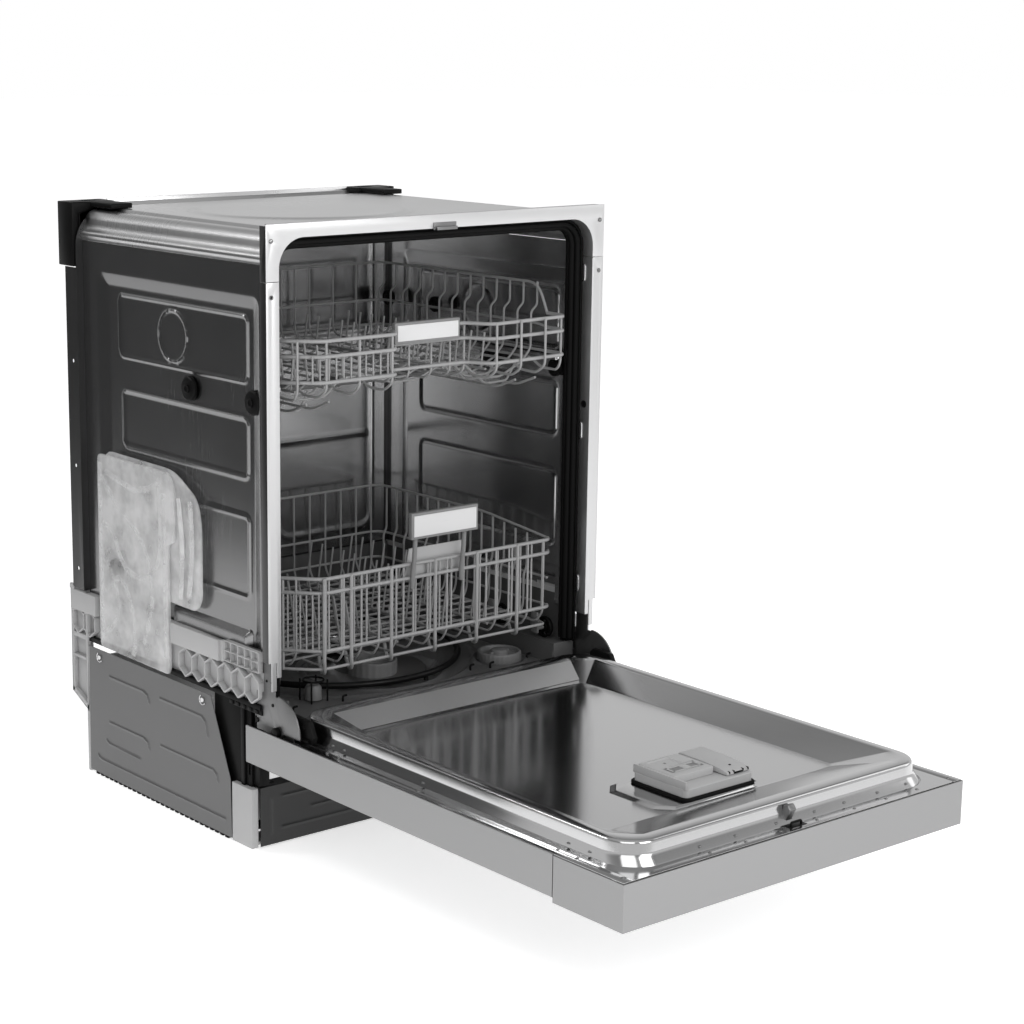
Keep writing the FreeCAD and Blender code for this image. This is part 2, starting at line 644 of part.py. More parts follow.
save("heating_element", heating_element())
save("filter_plate", filter_plate())
save("sump", sump())
save("wash_pump", wash_pump())
save("drain_pump", drain_pump())
save("inlet_valve", inlet_valve())
save("water_softener", water_softener())
save("air_break_tank", air_break_tank())
save("feed_pipe", feed_pipe())
save("door_springs", door_spring(-1), door_spring(1))

save("float", float_cap())
save("filter_cup", filter_cup())
save("salt_cap", salt_cap())
for foot_name, places in (
    ("foot_front_left", [(-230, 130)]),
    ("foot_front_right", [(230, 130)]),
    ("rear_feet", [(-230, 430), (230, 430)]),
):
    feet = []
    for foot_x, foot_y in places:
        one = foot()
        one.translate(Vector(foot_x, foot_y, 0))
        feet.append(one)
    save(foot_name, *feet)
save("wall_rollers_front", *both_sides(wall_roller(55.6)))
save("wall_rollers_rear", *both_sides(wall_roller(210.6)))
save("lower_spray_arm", lower_spray_arm())
save("upper_spray_arm", upper_spray_arm())

save("outer_panel", outer_panel())
save("control_panel", control_panel())
save("inner_liner", inner_liner())
save("hinge_arms", *both_sides(hinge_arm()))
save("dispenser_body", dispenser_body())
save("detergent_lid", detergent_lid())
save("rinse_lid", rinse_lid())
save("door_latch", door_latch())
save("power_button", button(-230, 26))
save("start_button", button(230, 26))

save("lower_basket", *lower_basket())
save("lower_handle", lower_handle())
save("lower_tines", lower_tines())
for number, wheel_y in enumerate(WHEEL_YS, 1):
    save("lower_wheels_%d" % number, *lower_wheels(wheel_y))
save("upper_basket", *upper_basket())
save("upper_handle", upper_handle())
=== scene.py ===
import json
import math

import bmesh
import bpy
import numpy as np
from mathutils import Matrix, Vector

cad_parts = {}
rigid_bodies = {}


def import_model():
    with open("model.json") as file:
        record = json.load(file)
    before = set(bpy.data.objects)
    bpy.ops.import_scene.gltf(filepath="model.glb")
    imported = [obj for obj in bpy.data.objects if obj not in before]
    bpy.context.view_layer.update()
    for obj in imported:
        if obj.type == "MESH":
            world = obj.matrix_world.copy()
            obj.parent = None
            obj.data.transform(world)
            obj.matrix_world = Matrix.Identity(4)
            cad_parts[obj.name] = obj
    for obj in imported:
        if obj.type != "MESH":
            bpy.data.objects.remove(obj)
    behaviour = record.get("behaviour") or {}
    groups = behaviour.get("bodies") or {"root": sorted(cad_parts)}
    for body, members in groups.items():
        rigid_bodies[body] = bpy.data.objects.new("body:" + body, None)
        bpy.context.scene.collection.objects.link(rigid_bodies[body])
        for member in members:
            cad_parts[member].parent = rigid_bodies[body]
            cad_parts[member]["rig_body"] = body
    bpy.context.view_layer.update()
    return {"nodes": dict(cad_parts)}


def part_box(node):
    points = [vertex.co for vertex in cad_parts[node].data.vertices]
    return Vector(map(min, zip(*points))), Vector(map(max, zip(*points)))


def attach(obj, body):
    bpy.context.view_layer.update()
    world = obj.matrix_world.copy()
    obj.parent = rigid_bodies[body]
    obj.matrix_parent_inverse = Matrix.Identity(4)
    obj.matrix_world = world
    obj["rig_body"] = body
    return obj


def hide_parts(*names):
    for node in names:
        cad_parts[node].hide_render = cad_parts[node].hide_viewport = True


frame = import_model()

# Built-in dishwasher, door open. Shapes are written in millimetres from the centre line (+X right), the front
# flange plane (+Y back) and the floor, and metres() puts them into the frame.

FLANGE_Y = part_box("flange_top")[0].y
TUB_X = 285.0           # outside of the side walls
TUB_REAR = 487.8
TUB_TOP = 858.0
SIDE_TOP = 811.0        # seam between a side wall and the top sheet
BASIN_RIM = 283.0
BASIN_FLOOR = 182.0
SHELF = 211.0           # track of the lower rack's wheels
LEDGE = 181.0           # plane of the open door's edge
RIM_TOP = 208.0         # top of the liner's rim
WELL_FLOOR = 185.0      # floor of the liner's well
WIRE_R = 2.0
RAIL_R = 2.7            # front rails of the racks
ARM_Y = 264.0           # axis of both spray arms
ROLLER_Z = 626.0        # axis of the upper rack's wall rollers
WHEEL_Z = 227.8         # axis of the lower rack's wheels
WHEEL_YS = (68, 170, 335, 437)
ROLLER_YS = (55.6, 210.6)


# ---------------------------------------------------------------- shapes as arrays

def metres(points):
    """Millimetres from centre line, flange plane and floor to metres in the frame."""
    return np.asarray(points, float) / 1000 + (0.0, FLANGE_Y, 0.0)


def grid_faces(rows, columns, wrap_rows=False, wrap_columns=False):
    """Quads of a grid whose point (i, j) has number i * columns + j; a wrapped side joins its last line to its first."""
    i, j = np.meshgrid(np.arange(rows - (not wrap_rows)), np.arange(columns - (not wrap_columns)),
                       indexing="ij")
    here, beyond = i * columns, (i + 1) % rows * columns
    nxt = (j + 1) % columns
    return np.stack([here + j, here + nxt, beyond + nxt, beyond + j], -1).reshape(-1, 4)


def grid(points, wrap_rows=False, wrap_columns=False):
    """A shape from an array of points (rows, columns, 3)."""
    rows, columns = points.shape[:2]
    return points.reshape(-1, 3), [grid_faces(rows, columns, wrap_rows, wrap_columns)]


def unit(vectors):
    """Vectors scaled to length 1."""
    return vectors / np.maximum(np.linalg.norm(vectors, axis=-1, keepdims=True), 1e-9)


def tube(path, radius, sides=8, loop=False, flatten=1.0):
    """A round wire: at each path point a ring in the plane across the mean of the directions before and after it.
    flatten scales the ring along the normal of the plane that the path lies in."""
    path = np.asarray(path, float)
    ahead = np.roll(path, -1, 0) - path
    behind = path - np.roll(path, 1, 0)
    if not loop:
        ahead[-1], behind[0] = behind[-1], ahead[0]
    along = unit(unit(ahead) + unit(behind))
    normal = np.linalg.svd(path - path.mean(0))[2][-1]
    side = unit(np.cross(along, normal))
    up = np.cross(side, along)
    turn = np.linspace(0, 2 * np.pi, sides, endpoint=False)
    ring = np.cos(turn)[None, :, None] * side[:, None] + flatten * np.sin(turn)[None, :, None] * up[:, None]
    points, faces = grid(path[:, None] + radius * ring, loop, True)
    if not loop:
        faces += [np.arange(sides)[None], np.arange(len(points) - sides, len(points))[None, ::-1]]
    return points, faces


def rounded(corners, reach, steps=4, loop=False):
    """A path through the corners, each corner replaced by a parabola that starts and ends reach away from it."""
    p = np.asarray(corners, float)
    if loop:
        before, corner, after = np.roll(p, 1, 0), p, np.roll(p, -1, 0)
    else:
        before, corner, after = p[:-2], p[1:-1], p[2:]
    into, out = before - corner, after - corner
    short = 0.48 * np.minimum(np.linalg.norm(into, axis=1), np.linalg.norm(out, axis=1))
    r = np.minimum(reach, short)[:, None, None]
    t = np.linspace(0, 1, steps + 1)[None, :, None]
    start, end = corner[:, None] + r * unit(into)[:, None], corner[:, None] + r * unit(out)[:, None]
    curve = ((1 - t) ** 2 * start + 2 * t * (1 - t) * corner[:, None] + t ** 2 * end).reshape(-1, 3)
    return curve if loop else np.vstack([p[:1], curve, p[-1:]])


def wire(corners, radius=WIRE_R, reach=9.0, sides=8, loop=False):
    return tube(rounded(corners, reach, loop=loop) if len(corners) > 2 else corners, radius, sides, loop)


def lathe(profile, centre, axis="Z", sides=40, ripple=0.0, ripples=24):
    """A profile of (radius, height) points turned round an axis through the centre. ripple deepens it in a wave."""
    profile = np.asarray(profile, float)
    turn = np.linspace(0, 2 * np.pi, sides, endpoint=False)
    radius = profile[:, :1] * (1 + ripple * np.cos(ripples * turn))[None]
    a, b = radius * np.cos(turn), radius * np.sin(turn)
    h = np.repeat(profile[:, 1:], sides, 1)
    points = np.stack({"Z": (a, b, h), "X": (h, a, b), "Y": (b, h, a)}[axis], -1) + np.asarray(centre, float)
    return grid(points, False, True)


def block(x0, x1, y0, y1, z0, z1):
    """A box between two corners."""
    points = np.array([(x, y, z) for x in (x0, x1) for y in (y0, y1) for z in (z0, z1)], float)
    return points, [np.array([(0, 1, 3, 2), (4, 6, 7, 5), (0, 4, 5, 1), (2, 3, 7, 6), (0, 2, 6, 4),
                              (1, 5, 7, 3)])]


def plate(outline, low, high, axis="X"):
    """A flat plate: an outline in the other two axes, between two planes along the axis."""
    flat = np.asarray(outline, float)
    n = len(flat)
    ends = [np.insert(flat, "XYZ".index(axis), value, axis=1) for value in (low, high)]
    i = np.arange(n)
    walls = np.stack([i, (i + 1) % n, (i + 1) % n + n, i + n], -1)
    return np.vstack(ends), [walls, i[None, ::-1], i[None] + n]


def rounded_loop(x0, x1, y0, y1, radius, steps=10, chord=0.0):
    """Points round a rectangle with round corners, anticlockwise. chord flattens each corner arc towards its chord."""
    quarter = np.linspace(0, np.pi / 2, steps)
    angle = np.arange(4)[:, None] * np.pi / 2 + quarter
    cx = np.array([x1 - radius, x0 + radius, x0 + radius, x1 - radius])[:, None]
    cy = np.array([y1 - radius, y1 - radius, y0 + radius, y0 + radius])[:, None]
    arc = np.stack([cx + radius * np.cos(angle), cy + radius * np.sin(angle)], -1)
    t = np.linspace(0, 1, steps)[None, :, None]
    straight = arc[:, :1] * (1 - t) + arc[:, -1:] * t
    return ((1 - chord) * arc + chord * straight).reshape(-1, 2)


def dish(loops):
    """A surface through a list of (loop of plan points, height), from the first to the last."""
    rings = [np.insert(loop, 2, height, axis=1) for loop, height in loops]
    return grid(np.stack(rings), False, True)


def mirror(shape):
    """The shape on the other side of the centre line, its faces turned so that they still point the same way."""
    points, faces = shape
    return points * (-1, 1, 1), [group[:, ::-1] for group in faces]


def pair(shapes):
    """The shapes and their mirror images."""
    return [*shapes, *[mirror(shape) for shape in shapes]]


# ---------------------------------------------------------------- pressed relief, as heights over two lengths

def smooth(t):
    """Eased step from 0 to 1."""
    t = np.clip(t, 0, 1)
    return t * t * (3 - 2 * t)


def inside_box(u, v, low, high, radius):
    """Distance outside (+) or inside (-) a rectangle with round corners, given by two opposite corners."""
    centre, half = (np.add(low, high)) / 2, np.subtract(high, low) / 2 - radius
    du, dv = np.abs(u - centre[0]) - half[0], np.abs(v - centre[1]) - half[1]
    outside = np.hypot(np.maximum(du, 0), np.maximum(dv, 0))
    return outside + np.minimum(np.maximum(du, dv), 0) - radius


def along_line(u, v, corners):
    """Distance to the nearest straight run between the corners."""
    best = np.full(np.broadcast(u, v).shape, 1e9)
    for (u0, v0), (u1, v1) in zip(corners[:-1], corners[1:]):
        length = max((u1 - u0) ** 2 + (v1 - v0) ** 2, 1e-9)
        t = np.clip(((u - u0) * (u1 - u0) + (v - v0) * (v1 - v0)) / length, 0, 1)
        best = np.minimum(best, np.hypot(u - u0 - t * (u1 - u0), v - v0 - t * (v1 - v0)))
    return best


def bead(distance, width, height):
    """A round ridge that follows a line."""
    return height * smooth(1 - distance / width)


# ---------------------------------------------------------------- pieces

def dress(obj, material, body, stands_for=()):
    """Gives a piece its finish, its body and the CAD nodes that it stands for."""
    obj.data.materials.clear()
    obj.data.materials.append(material)
    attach(obj, body)
    if stands_for:
        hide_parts(*stands_for)
    return obj


def settle(obj, crease):
    """Applies the modifiers, then shades smooth between edges that turn by more than the crease angle."""
    bpy.context.view_layer.update()
    graph = bpy.context.evaluated_depsgraph_get()
    mesh = bpy.data.meshes.new_from_object(obj.evaluated_get(graph), depsgraph=graph)
    obj.modifiers.clear()
    old, obj.data = obj.data, mesh
    bpy.data.meshes.remove(old)
    mesh.name = obj.name
    mesh.shade_smooth()
    mesh.set_sharp_from_angle(angle=math.radians(crease))
    return obj


def add_edge(obj, width, segments=2):
    """Rounds the edges that turn by more than 35 degrees."""
    bevel = obj.modifiers.new("edge", "BEVEL")
    bevel.width, bevel.segments = width / 1000, segments
    bevel.limit_method, bevel.angle_limit = "ANGLE", math.radians(35)
    bevel.use_clamp_overlap = True


def make(name, shapes, material, body, stands_for=(), sheet=0.0, edge=0.0, crease=38):
    """One piece from shapes in millimetres. sheet gives an open surface its thickness, behind its face; a closed
    piece has its faces turned outwards. edge rounds the sharp edges."""
    points = np.vstack([metres(shape[0]) for shape in shapes])
    faces, start = [], 0
    for shape_points, groups in shapes:
        faces += [face for group in groups for face in (group + start).tolist()]
        start += len(shape_points)
    mesh = bpy.data.meshes.new(name)
    mesh.from_pydata(points.tolist(), [], faces)
    work = bmesh.new()
    work.from_mesh(mesh)
    bmesh.ops.remove_doubles(work, verts=work.verts, dist=1e-6)
    if not sheet:
        bmesh.ops.recalc_face_normals(work, faces=work.faces)
    work.to_mesh(mesh)
    work.free()
    obj = bpy.data.objects.new(name, mesh)
    bpy.context.scene.collection.objects.link(obj)
    if sheet:
        wall = obj.modifiers.new("sheet", "SOLIDIFY")
        wall.thickness, wall.offset = sheet / 1000, -1
    if edge:
        add_edge(obj, edge)
    settle(obj, crease)
    return dress(obj, material, body, stands_for)


def soften(node, material, edge=0.5, crease=32, reshape=None, sides=None):
    """The CAD node's own shape, merged into flat faces, with its edges rounded. reshape moves its points, given in
    millimetres; sides is the finish of its outermost side faces."""
    source = frame["nodes"][node]
    work = bmesh.new()
    work.from_mesh(source.data)
    bmesh.ops.remove_doubles(work, verts=work.verts, dist=1e-6)
    bmesh.ops.dissolve_limit(work, angle_limit=math.radians(1), verts=work.verts, edges=work.edges)
    mesh = bpy.data.meshes.new(node + "_finished")
    work.to_mesh(mesh)
    work.free()
    if reshape:
        flat = np.empty(len(mesh.vertices) * 3, np.float32)
        mesh.vertices.foreach_get("co", flat)
        moved_points = reshape((flat.reshape(-1, 3) - (0, FLANGE_Y, 0)) * 1000)
        mesh.vertices.foreach_set("co", metres(moved_points).astype(np.float32).ravel())
        mesh.update()
    obj = bpy.data.objects.new(node + "_finished", mesh)
    bpy.context.scene.collection.objects.link(obj)
    add_edge(obj, edge)
    settle(obj, crease)
    dress(obj, material, source["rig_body"], [node])
    if sides:
        obj.data.materials.append(sides)
        for face in obj.data.polygons:
            face.material_index = int(abs(face.normal.x) > 0.8 and abs(face.center.x) > 0.2985)
    return obj


# ---------------------------------------------------------------- finishes

def group_socket(tree, name, side, kind="NodeSocketFloat", value=None):
    socket = tree.interface.new_socket(name=name, in_out=side, socket_type=kind)
    if value is not None:
        socket.default_value = value


def surface_variation():
    """Group: a cloudy change of colour and roughness, and a fine grain for the bump, the grain stretched as asked."""
    tree = bpy.data.node_groups.new("surface_variation", "ShaderNodeTree")
    group_socket(tree, "Place", "INPUT", "NodeSocketVector")
    group_socket(tree, "Colour", "INPUT", "NodeSocketColor", (0.5, 0.5, 0.5, 1))
    group_socket(tree, "Tint", "INPUT", value=0.1)
    group_socket(tree, "Roughness", "INPUT", value=0.4)
    group_socket(tree, "Rough spread", "INPUT", value=0.1)
    group_socket(tree, "Cloud size", "INPUT", value=6.0)
    group_socket(tree, "Grain stretch", "INPUT", "NodeSocketVector", (1, 1, 1))
    group_socket(tree, "Grain size", "INPUT", value=400.0)
    for name, kind in (("Colour", "NodeSocketColor"), ("Roughness", "NodeSocketFloat"),
                       ("Grain", "NodeSocketFloat"),
                       ("Cloud", "NodeSocketFloat")):
        group_socket(tree, name, "OUTPUT", kind)
    nodes, links = tree.nodes, tree.links
    given, result = nodes.new("NodeGroupInput"), nodes.new("NodeGroupOutput")
    cloud, stretch, grain = nodes.new("ShaderNodeTexNoise"), nodes.new("ShaderNodeVectorMath"), nodes.new("ShaderNodeTexNoise")
    cloud.inputs["Detail"].default_value = 3
    grain.inputs["Detail"].default_value = 4
    stretch.operation = "MULTIPLY"
    links.new(given.outputs["Place"], cloud.inputs["Vector"])
    links.new(given.outputs["Cloud size"], cloud.inputs["Scale"])
    links.new(given.outputs["Place"], stretch.inputs[0])
    links.new(given.outputs["Grain stretch"], stretch.inputs[1])
    links.new(stretch.outputs[0], grain.inputs["Vector"])
    links.new(given.outputs["Grain size"], grain.inputs["Scale"])

    def math_node(operation, a, b):
        node = nodes.new("ShaderNodeMath")
        node.operation = operation
        for socket, value in zip(node.inputs, (a, b)):
            if isinstance(value, bpy.types.NodeSocket):
                links.new(value, socket)
            else:
                socket.default_value = value
        return node.outputs[0]

    both = math_node("ADD", math_node("MULTIPLY", cloud.outputs[0], 0.6), math_node("MULTIPLY",
            grain.outputs[0], 0.4))
    centred = math_node("SUBTRACT", both, 0.5)
    gain = math_node("ADD", math_node("MULTIPLY", centred, math_node("MULTIPLY", given.outputs["Tint"], 4.0)),
                     1.0)
    scale = nodes.new("ShaderNodeVectorMath")
    scale.operation = "SCALE"
    links.new(given.outputs["Colour"], scale.inputs[0])
    links.new(gain, scale.inputs["Scale"])
    links.new(scale.outputs[0], result.inputs["Colour"])
    spread = math_node("MULTIPLY", centred, math_node("MULTIPLY", given.outputs["Rough spread"], 4.0))
    links.new(math_node("ADD", spread, given.outputs["Roughness"]), result.inputs["Roughness"])
    links.new(grain.outputs[0], result.inputs["Grain"])
    links.new(cloud.outputs[0], result.inputs["Cloud"])
    return tree


VARIATION = surface_variation()


def finish(name, colour, roughness, metallic=0.0, tint=0.06, spread=0.05, cloud=6.0, stretch=(1, 1, 1),
           grain=400.0,
           bump=0.05, depth=0.0003, clear=None, **sockets):
    """A Principled material whose colour, roughness and bump come from the variation group on Object coordinates."""
    material = bpy.data.materials.new(name)
    material.use_nodes = True
    nodes, links = material.node_tree.nodes, material.node_tree.links
    shader = nodes["Principled BSDF"]
    place, varied, height = nodes.new("ShaderNodeTexCoord"), nodes.new("ShaderNodeGroup"), nodes.new("ShaderNodeBump")
    varied.node_tree = VARIATION
    values = {"Colour": (*colour, 1), "Tint": tint, "Roughness": roughness, "Rough spread": spread,
              "Cloud size": cloud, "Grain stretch": stretch, "Grain size": grain}
    for key, value in values.items():
        varied.inputs[key].default_value = value
    links.new(place.outputs["Object"], varied.inputs["Place"])
    links.new(varied.outputs["Colour"], shader.inputs["Base Color"])
    links.new(varied.outputs["Roughness"], shader.inputs["Roughness"])
    links.new(varied.outputs["Grain"], height.inputs["Height"])
    height.inputs["Strength"].default_value = bump
    height.inputs["Distance"].default_value = depth
    links.new(height.outputs["Normal"], shader.inputs["Normal"])
    shader.inputs["Metallic"].default_value = metallic
    for key, value in sockets.items():
        shader.inputs[key.replace("_", " ")].default_value = value
    if clear:
        spread = nodes.new("ShaderNodeMapRange")
        for key, value in zip(("From Min", "From Max", "To Min", "To Max"), (0.35, 0.65, *clear)):
            spread.inputs[key].default_value = value
        links.new(varied.outputs["Cloud"], spread.inputs["Value"])
        links.new(spread.outputs[0], shader.inputs["Alpha"])
    return material


def grey(value):
    return (value, value, value * 1.005)


FLANGE = finish("bright_flange_steel", grey(0.62), 0.42, 1.0, 0.03, 0.05, 3, (1, 1, 60), 30, 0.04)
# Darker copy of the tub steel for the left wall's outer face: its dark colour is partly painted shade.
OUTSIDE = finish("satin_tub_steel_painted_shade", grey(0.25), 0.24, 1.0, 0.10, 0.06, 3, (1, 40, 1), 20, 0.03)
# Darker copy of the tub's outside steel for the back panel and the flanges' outer side faces: painted shade for the
# dimmer light these faces get.
SHADE_PAINTED_STEEL = finish("back_steel_painted_shade", grey(0.075), 0.36, 1.0, 0.10, 0.06, 3, (1, 40, 1), 20, 0.03)
# Lighter, rougher copy of the liner steel for the well's hinge-end slope, which reflects the dark tub: a rougher
# finish, and painted light in its colour.
LIT_SLOPE_STEEL = finish("rough_slope_steel_painted_light", grey(0.62), 0.44, 1.0, 0.04, 0.04, 4, (60, 1, 1), 24, 0.02)
TOP_STEEL = finish("top_sheet_steel", grey(0.60), 0.30, 1.0, 0.05, 0.06, 3, (1, 40, 1), 20, 0.03)
INSIDE = finish("polished_tub_steel", grey(0.50), 0.20, 1.0, 0.08, 0.05, 4, (40, 1, 1), 20, 0.03)
LINER = finish("mirror_liner_steel", grey(0.56), 0.14, 1.0, 0.04, 0.03, 4, (60, 1, 1), 24, 0.02)
DOOR = finish("brushed_door_steel", grey(0.31), 0.36, 1.0, 0.03, 0.06, 3, (1, 90, 90), 12, 0.05)
ZINC = finish("zinc_plated_steel", grey(0.22), 0.42, 1.0, 0.12, 0.08, 30, (1, 1, 1), 600, 0.05)
BRIGHT = finish("bright_screw_steel", grey(0.70), 0.22, 1.0, 0.05, 0.05, 60)
PLATE = finish("grey_coated_plate", grey(0.145), 0.44, 0.35, 0.05, 0.06, 5, (1, 1, 1), 900, 0.06)
KICK = finish("black_coated_plate", grey(0.014), 0.34, 0.0, 0.10, 0.08, 6, (1, 1, 1), 900, 0.06)
RUBBER = finish("black_rubber", grey(0.004), 0.55, 0.0, 0.10, 0.06, 20, (1, 1, 1), 900, 0.08,
                Specular_IOR_Level=0.08)
BLACK = finish("black_moulding", grey(0.005), 0.42, 0.0, 0.10, 0.06, 12, (1, 1, 1), 1200, 0.10,
               Specular_IOR_Level=0.1)
BASE = finish("light_grey_moulding", grey(0.46), 0.50, 0.0, 0.05, 0.05, 10, (1, 1, 1), 1200, 0.10)
BASIN = finish("grey_basin_moulding", grey(0.085), 0.42, 0.0, 0.08, 0.06, 8, (1, 1, 1), 1200, 0.10)
CAP = finish("grey_cap_moulding", grey(0.17), 0.46, 0.0, 0.06, 0.06, 20, (1, 1, 1), 1200, 0.10)
DISPENSER = finish("dispenser_moulding", grey(0.42), 0.42, 0.0, 0.04, 0.05, 20, (1, 1, 1), 1200, 0.10)
COATING = finish("grey_wire_coating", grey(0.32), 0.38, 0.0, 0.10, 0.08, 25, (1, 1, 1), 500, 0.12)
SHEATH = finish("black_heater_sheath", grey(0.006), 0.34, 0.0, 0.10, 0.06, 25, Specular_IOR_Level=0.2)
PALE = finish("white_handle_plate", grey(0.66), 0.30, 0.0, 0.02, 0.04, 12, (1, 60, 60), 14, 0.04)
FRAME_GREY = finish("handle_surround", grey(0.20), 0.42, 0.0, 0.06, 0.05, 20)
ARM_STEEL = finish("polished_arm_steel", grey(0.62), 0.16, 1.0, 0.05, 0.04, 10, (40, 1, 1), 20, 0.02)
TANK = finish("translucent_tank", grey(0.80), 0.30, 0.0, 0.06, 0.08, 22, (1, 1, 1), 60, 0.10, 0.001,
              clear=(0.30, 0.66))
CHANNEL = finish("translucent_channel", grey(0.86), 0.34, 0.0, 0.06, 0.08, 30, (1, 1, 1), 60, 0.10, 0.001,
                 clear=(0.12, 0.40))
SPRING = finish("spring_steel", grey(0.40), 0.30, 1.0, 0.08, 0.06, 30)
MESH = finish("filter_mesh", grey(0.35), 0.34, 1.0, 0.12, 0.08, 10, (1, 1, 1), 900, 0.5)


# ---------------------------------------------------------------- tub shell

def side_heights(y, z):
    """Outward relief of a side wall: one large recess, ribbed fields and a ring inside it, and a step at its foot."""
    recess = -6.5 * np.clip(-inside_box(y, z, (37, 232), (448, 770), 16) / 21, 0, 1)
    fields = np.minimum.reduce([
        np.abs(inside_box(y, z, (71, 651), (397, 740), 11)),
        np.abs(inside_box(y, z, (71, 520), (391, 601), 11)),
        np.abs(inside_box(y, z, (71, 353), (391, 467), 11)),
    ])
    ring = np.abs(np.hypot(y - 255, z - 694) - 36)
    step = 8 * np.clip(-inside_box(y, z, (66, 200), (262, 308), 6) / 8, 0, 1)
    return recess + bead(np.minimum(fields, ring), 4.2, 2.3) + step


def side_wall():
    """Right-hand wall: a grid over Y and Z, pushed outwards by its relief."""
    y, z = np.meshgrid(np.linspace(1.2, TUB_REAR, 196), np.linspace(262, SIDE_TOP, 216), indexing="ij")
    x = TUB_X + side_heights(y, z)
    return grid(np.stack([x, y, z], -1)[::-1])


def top_sheet():
    """A profile of flat top, bead, two rolls and seam step, carried from front to back, with a raised disc on top."""
    first, second = np.radians(np.linspace(-8, 78, 12)), np.radians(np.linspace(24, 104, 8))
    half_x = np.concatenate([np.linspace(0, 248, 50), [251, 253, 255, 257, 259.2], 262.5 + 17 * np.sin(first),
                             [280.2, 281.2], 280.6 + 7.4 * np.sin(second), [286.0, 285.6, 285.2]])
    half_z = np.concatenate([np.full(50, TUB_TOP), [857.7, 856.2, 854.4, 853.6, 854.0],
                             837.5 + 17 * np.cos(first),
                             [836, 831.5], 820 + 7.4 * np.cos(second), [816, 813.6, 811.4]])
    px, pz = np.concatenate([-half_x[:0:-1], half_x]), np.concatenate([half_z[:0:-1], half_z])
    y = np.linspace(1.2, TUB_REAR, 90)
    x, yy = np.meshgrid(px, y, indexing="ij")
    z = np.repeat(pz[:, None], len(y), 1)
    disc = 2.6 * np.clip((162 - np.hypot(x + 58, yy - 255)) / 12, 0, 1)
    z = z + disc * (pz[:, None] > TUB_TOP - 0.1)
    return grid(np.stack([x, yy, z], -1)[:, ::-1])


def back_panel():
    """Inner face of the back wall, with two upright ribbed fields."""
    x, z = np.meshgrid(np.linspace(-276, 276, 150), np.linspace(286, 846, 150), indexing="ij")
    lines = np.minimum.reduce([np.abs(inside_box(x, z, (lo, 315), (hi, 815), 26)) for lo, hi in ((-250, -60),
            (60, 250))])
    cross = np.minimum(np.abs(z - 470) + 1e3 * (np.abs(x) > 240), np.abs(z - 640) + 1e3 * (np.abs(x) > 240))
    y = 487.0 - bead(np.minimum(lines, cross), 6, 2.0)
    return grid(np.stack([x, y, z], -1)[::-1])


def wall_roller_boss(y):
    """Round black cap outside the wall: stepped disc with a hexagon socket in its middle."""
    cap = lathe([(0, 5.5), (15, 5.5), (17, 4.0), (17.5, 0), (0, 0)], (TUB_X - 4.5, y, ROLLER_Z), "X", 36)
    collar = lathe([(6.5, 5.5), (6.5, 7.5), (4.2, 7.5), (4.2, 6.0), (0, 6.0)], (TUB_X - 4.5, y, ROLLER_Z), "X",
                   6)
    return [cap, collar]


def seal_lip():
    """Three round ribs of rubber that follow the mouth, the front one largest."""
    shapes = []
    for inset, y, radius in ((8.5, 24, 4.5), (12.5, 31, 5.5), (13.5, 38, 3.5)):
        half, top, corner = 278 - inset, 848 - inset, 40 - inset
        turn = np.linspace(0, np.pi / 2, 9)
        right = np.stack([half - corner + corner * np.cos(turn), np.full(9, y),
                          top - corner + corner * np.sin(turn)], -1)
        left = right[::-1] * (-1, 1, 1)
        path = np.vstack([[(half, y, 218)], right, left, [(-half, y, 218)]])
        shapes.append(tube(path, radius, 10))
    return shapes


def low_shelf(points):
    """Lowers the rear rail's shelf to the foot of its upright."""
    points[points[:, 1] < 517, 2] -= 14
    return points


def short_return(points):
    """Ends the flange's outer return 14 mm behind its front face."""
    outside = np.abs(points[:, 0]) > 297
    points[outside, 1] = np.minimum(points[outside, 1], 14)
    return points


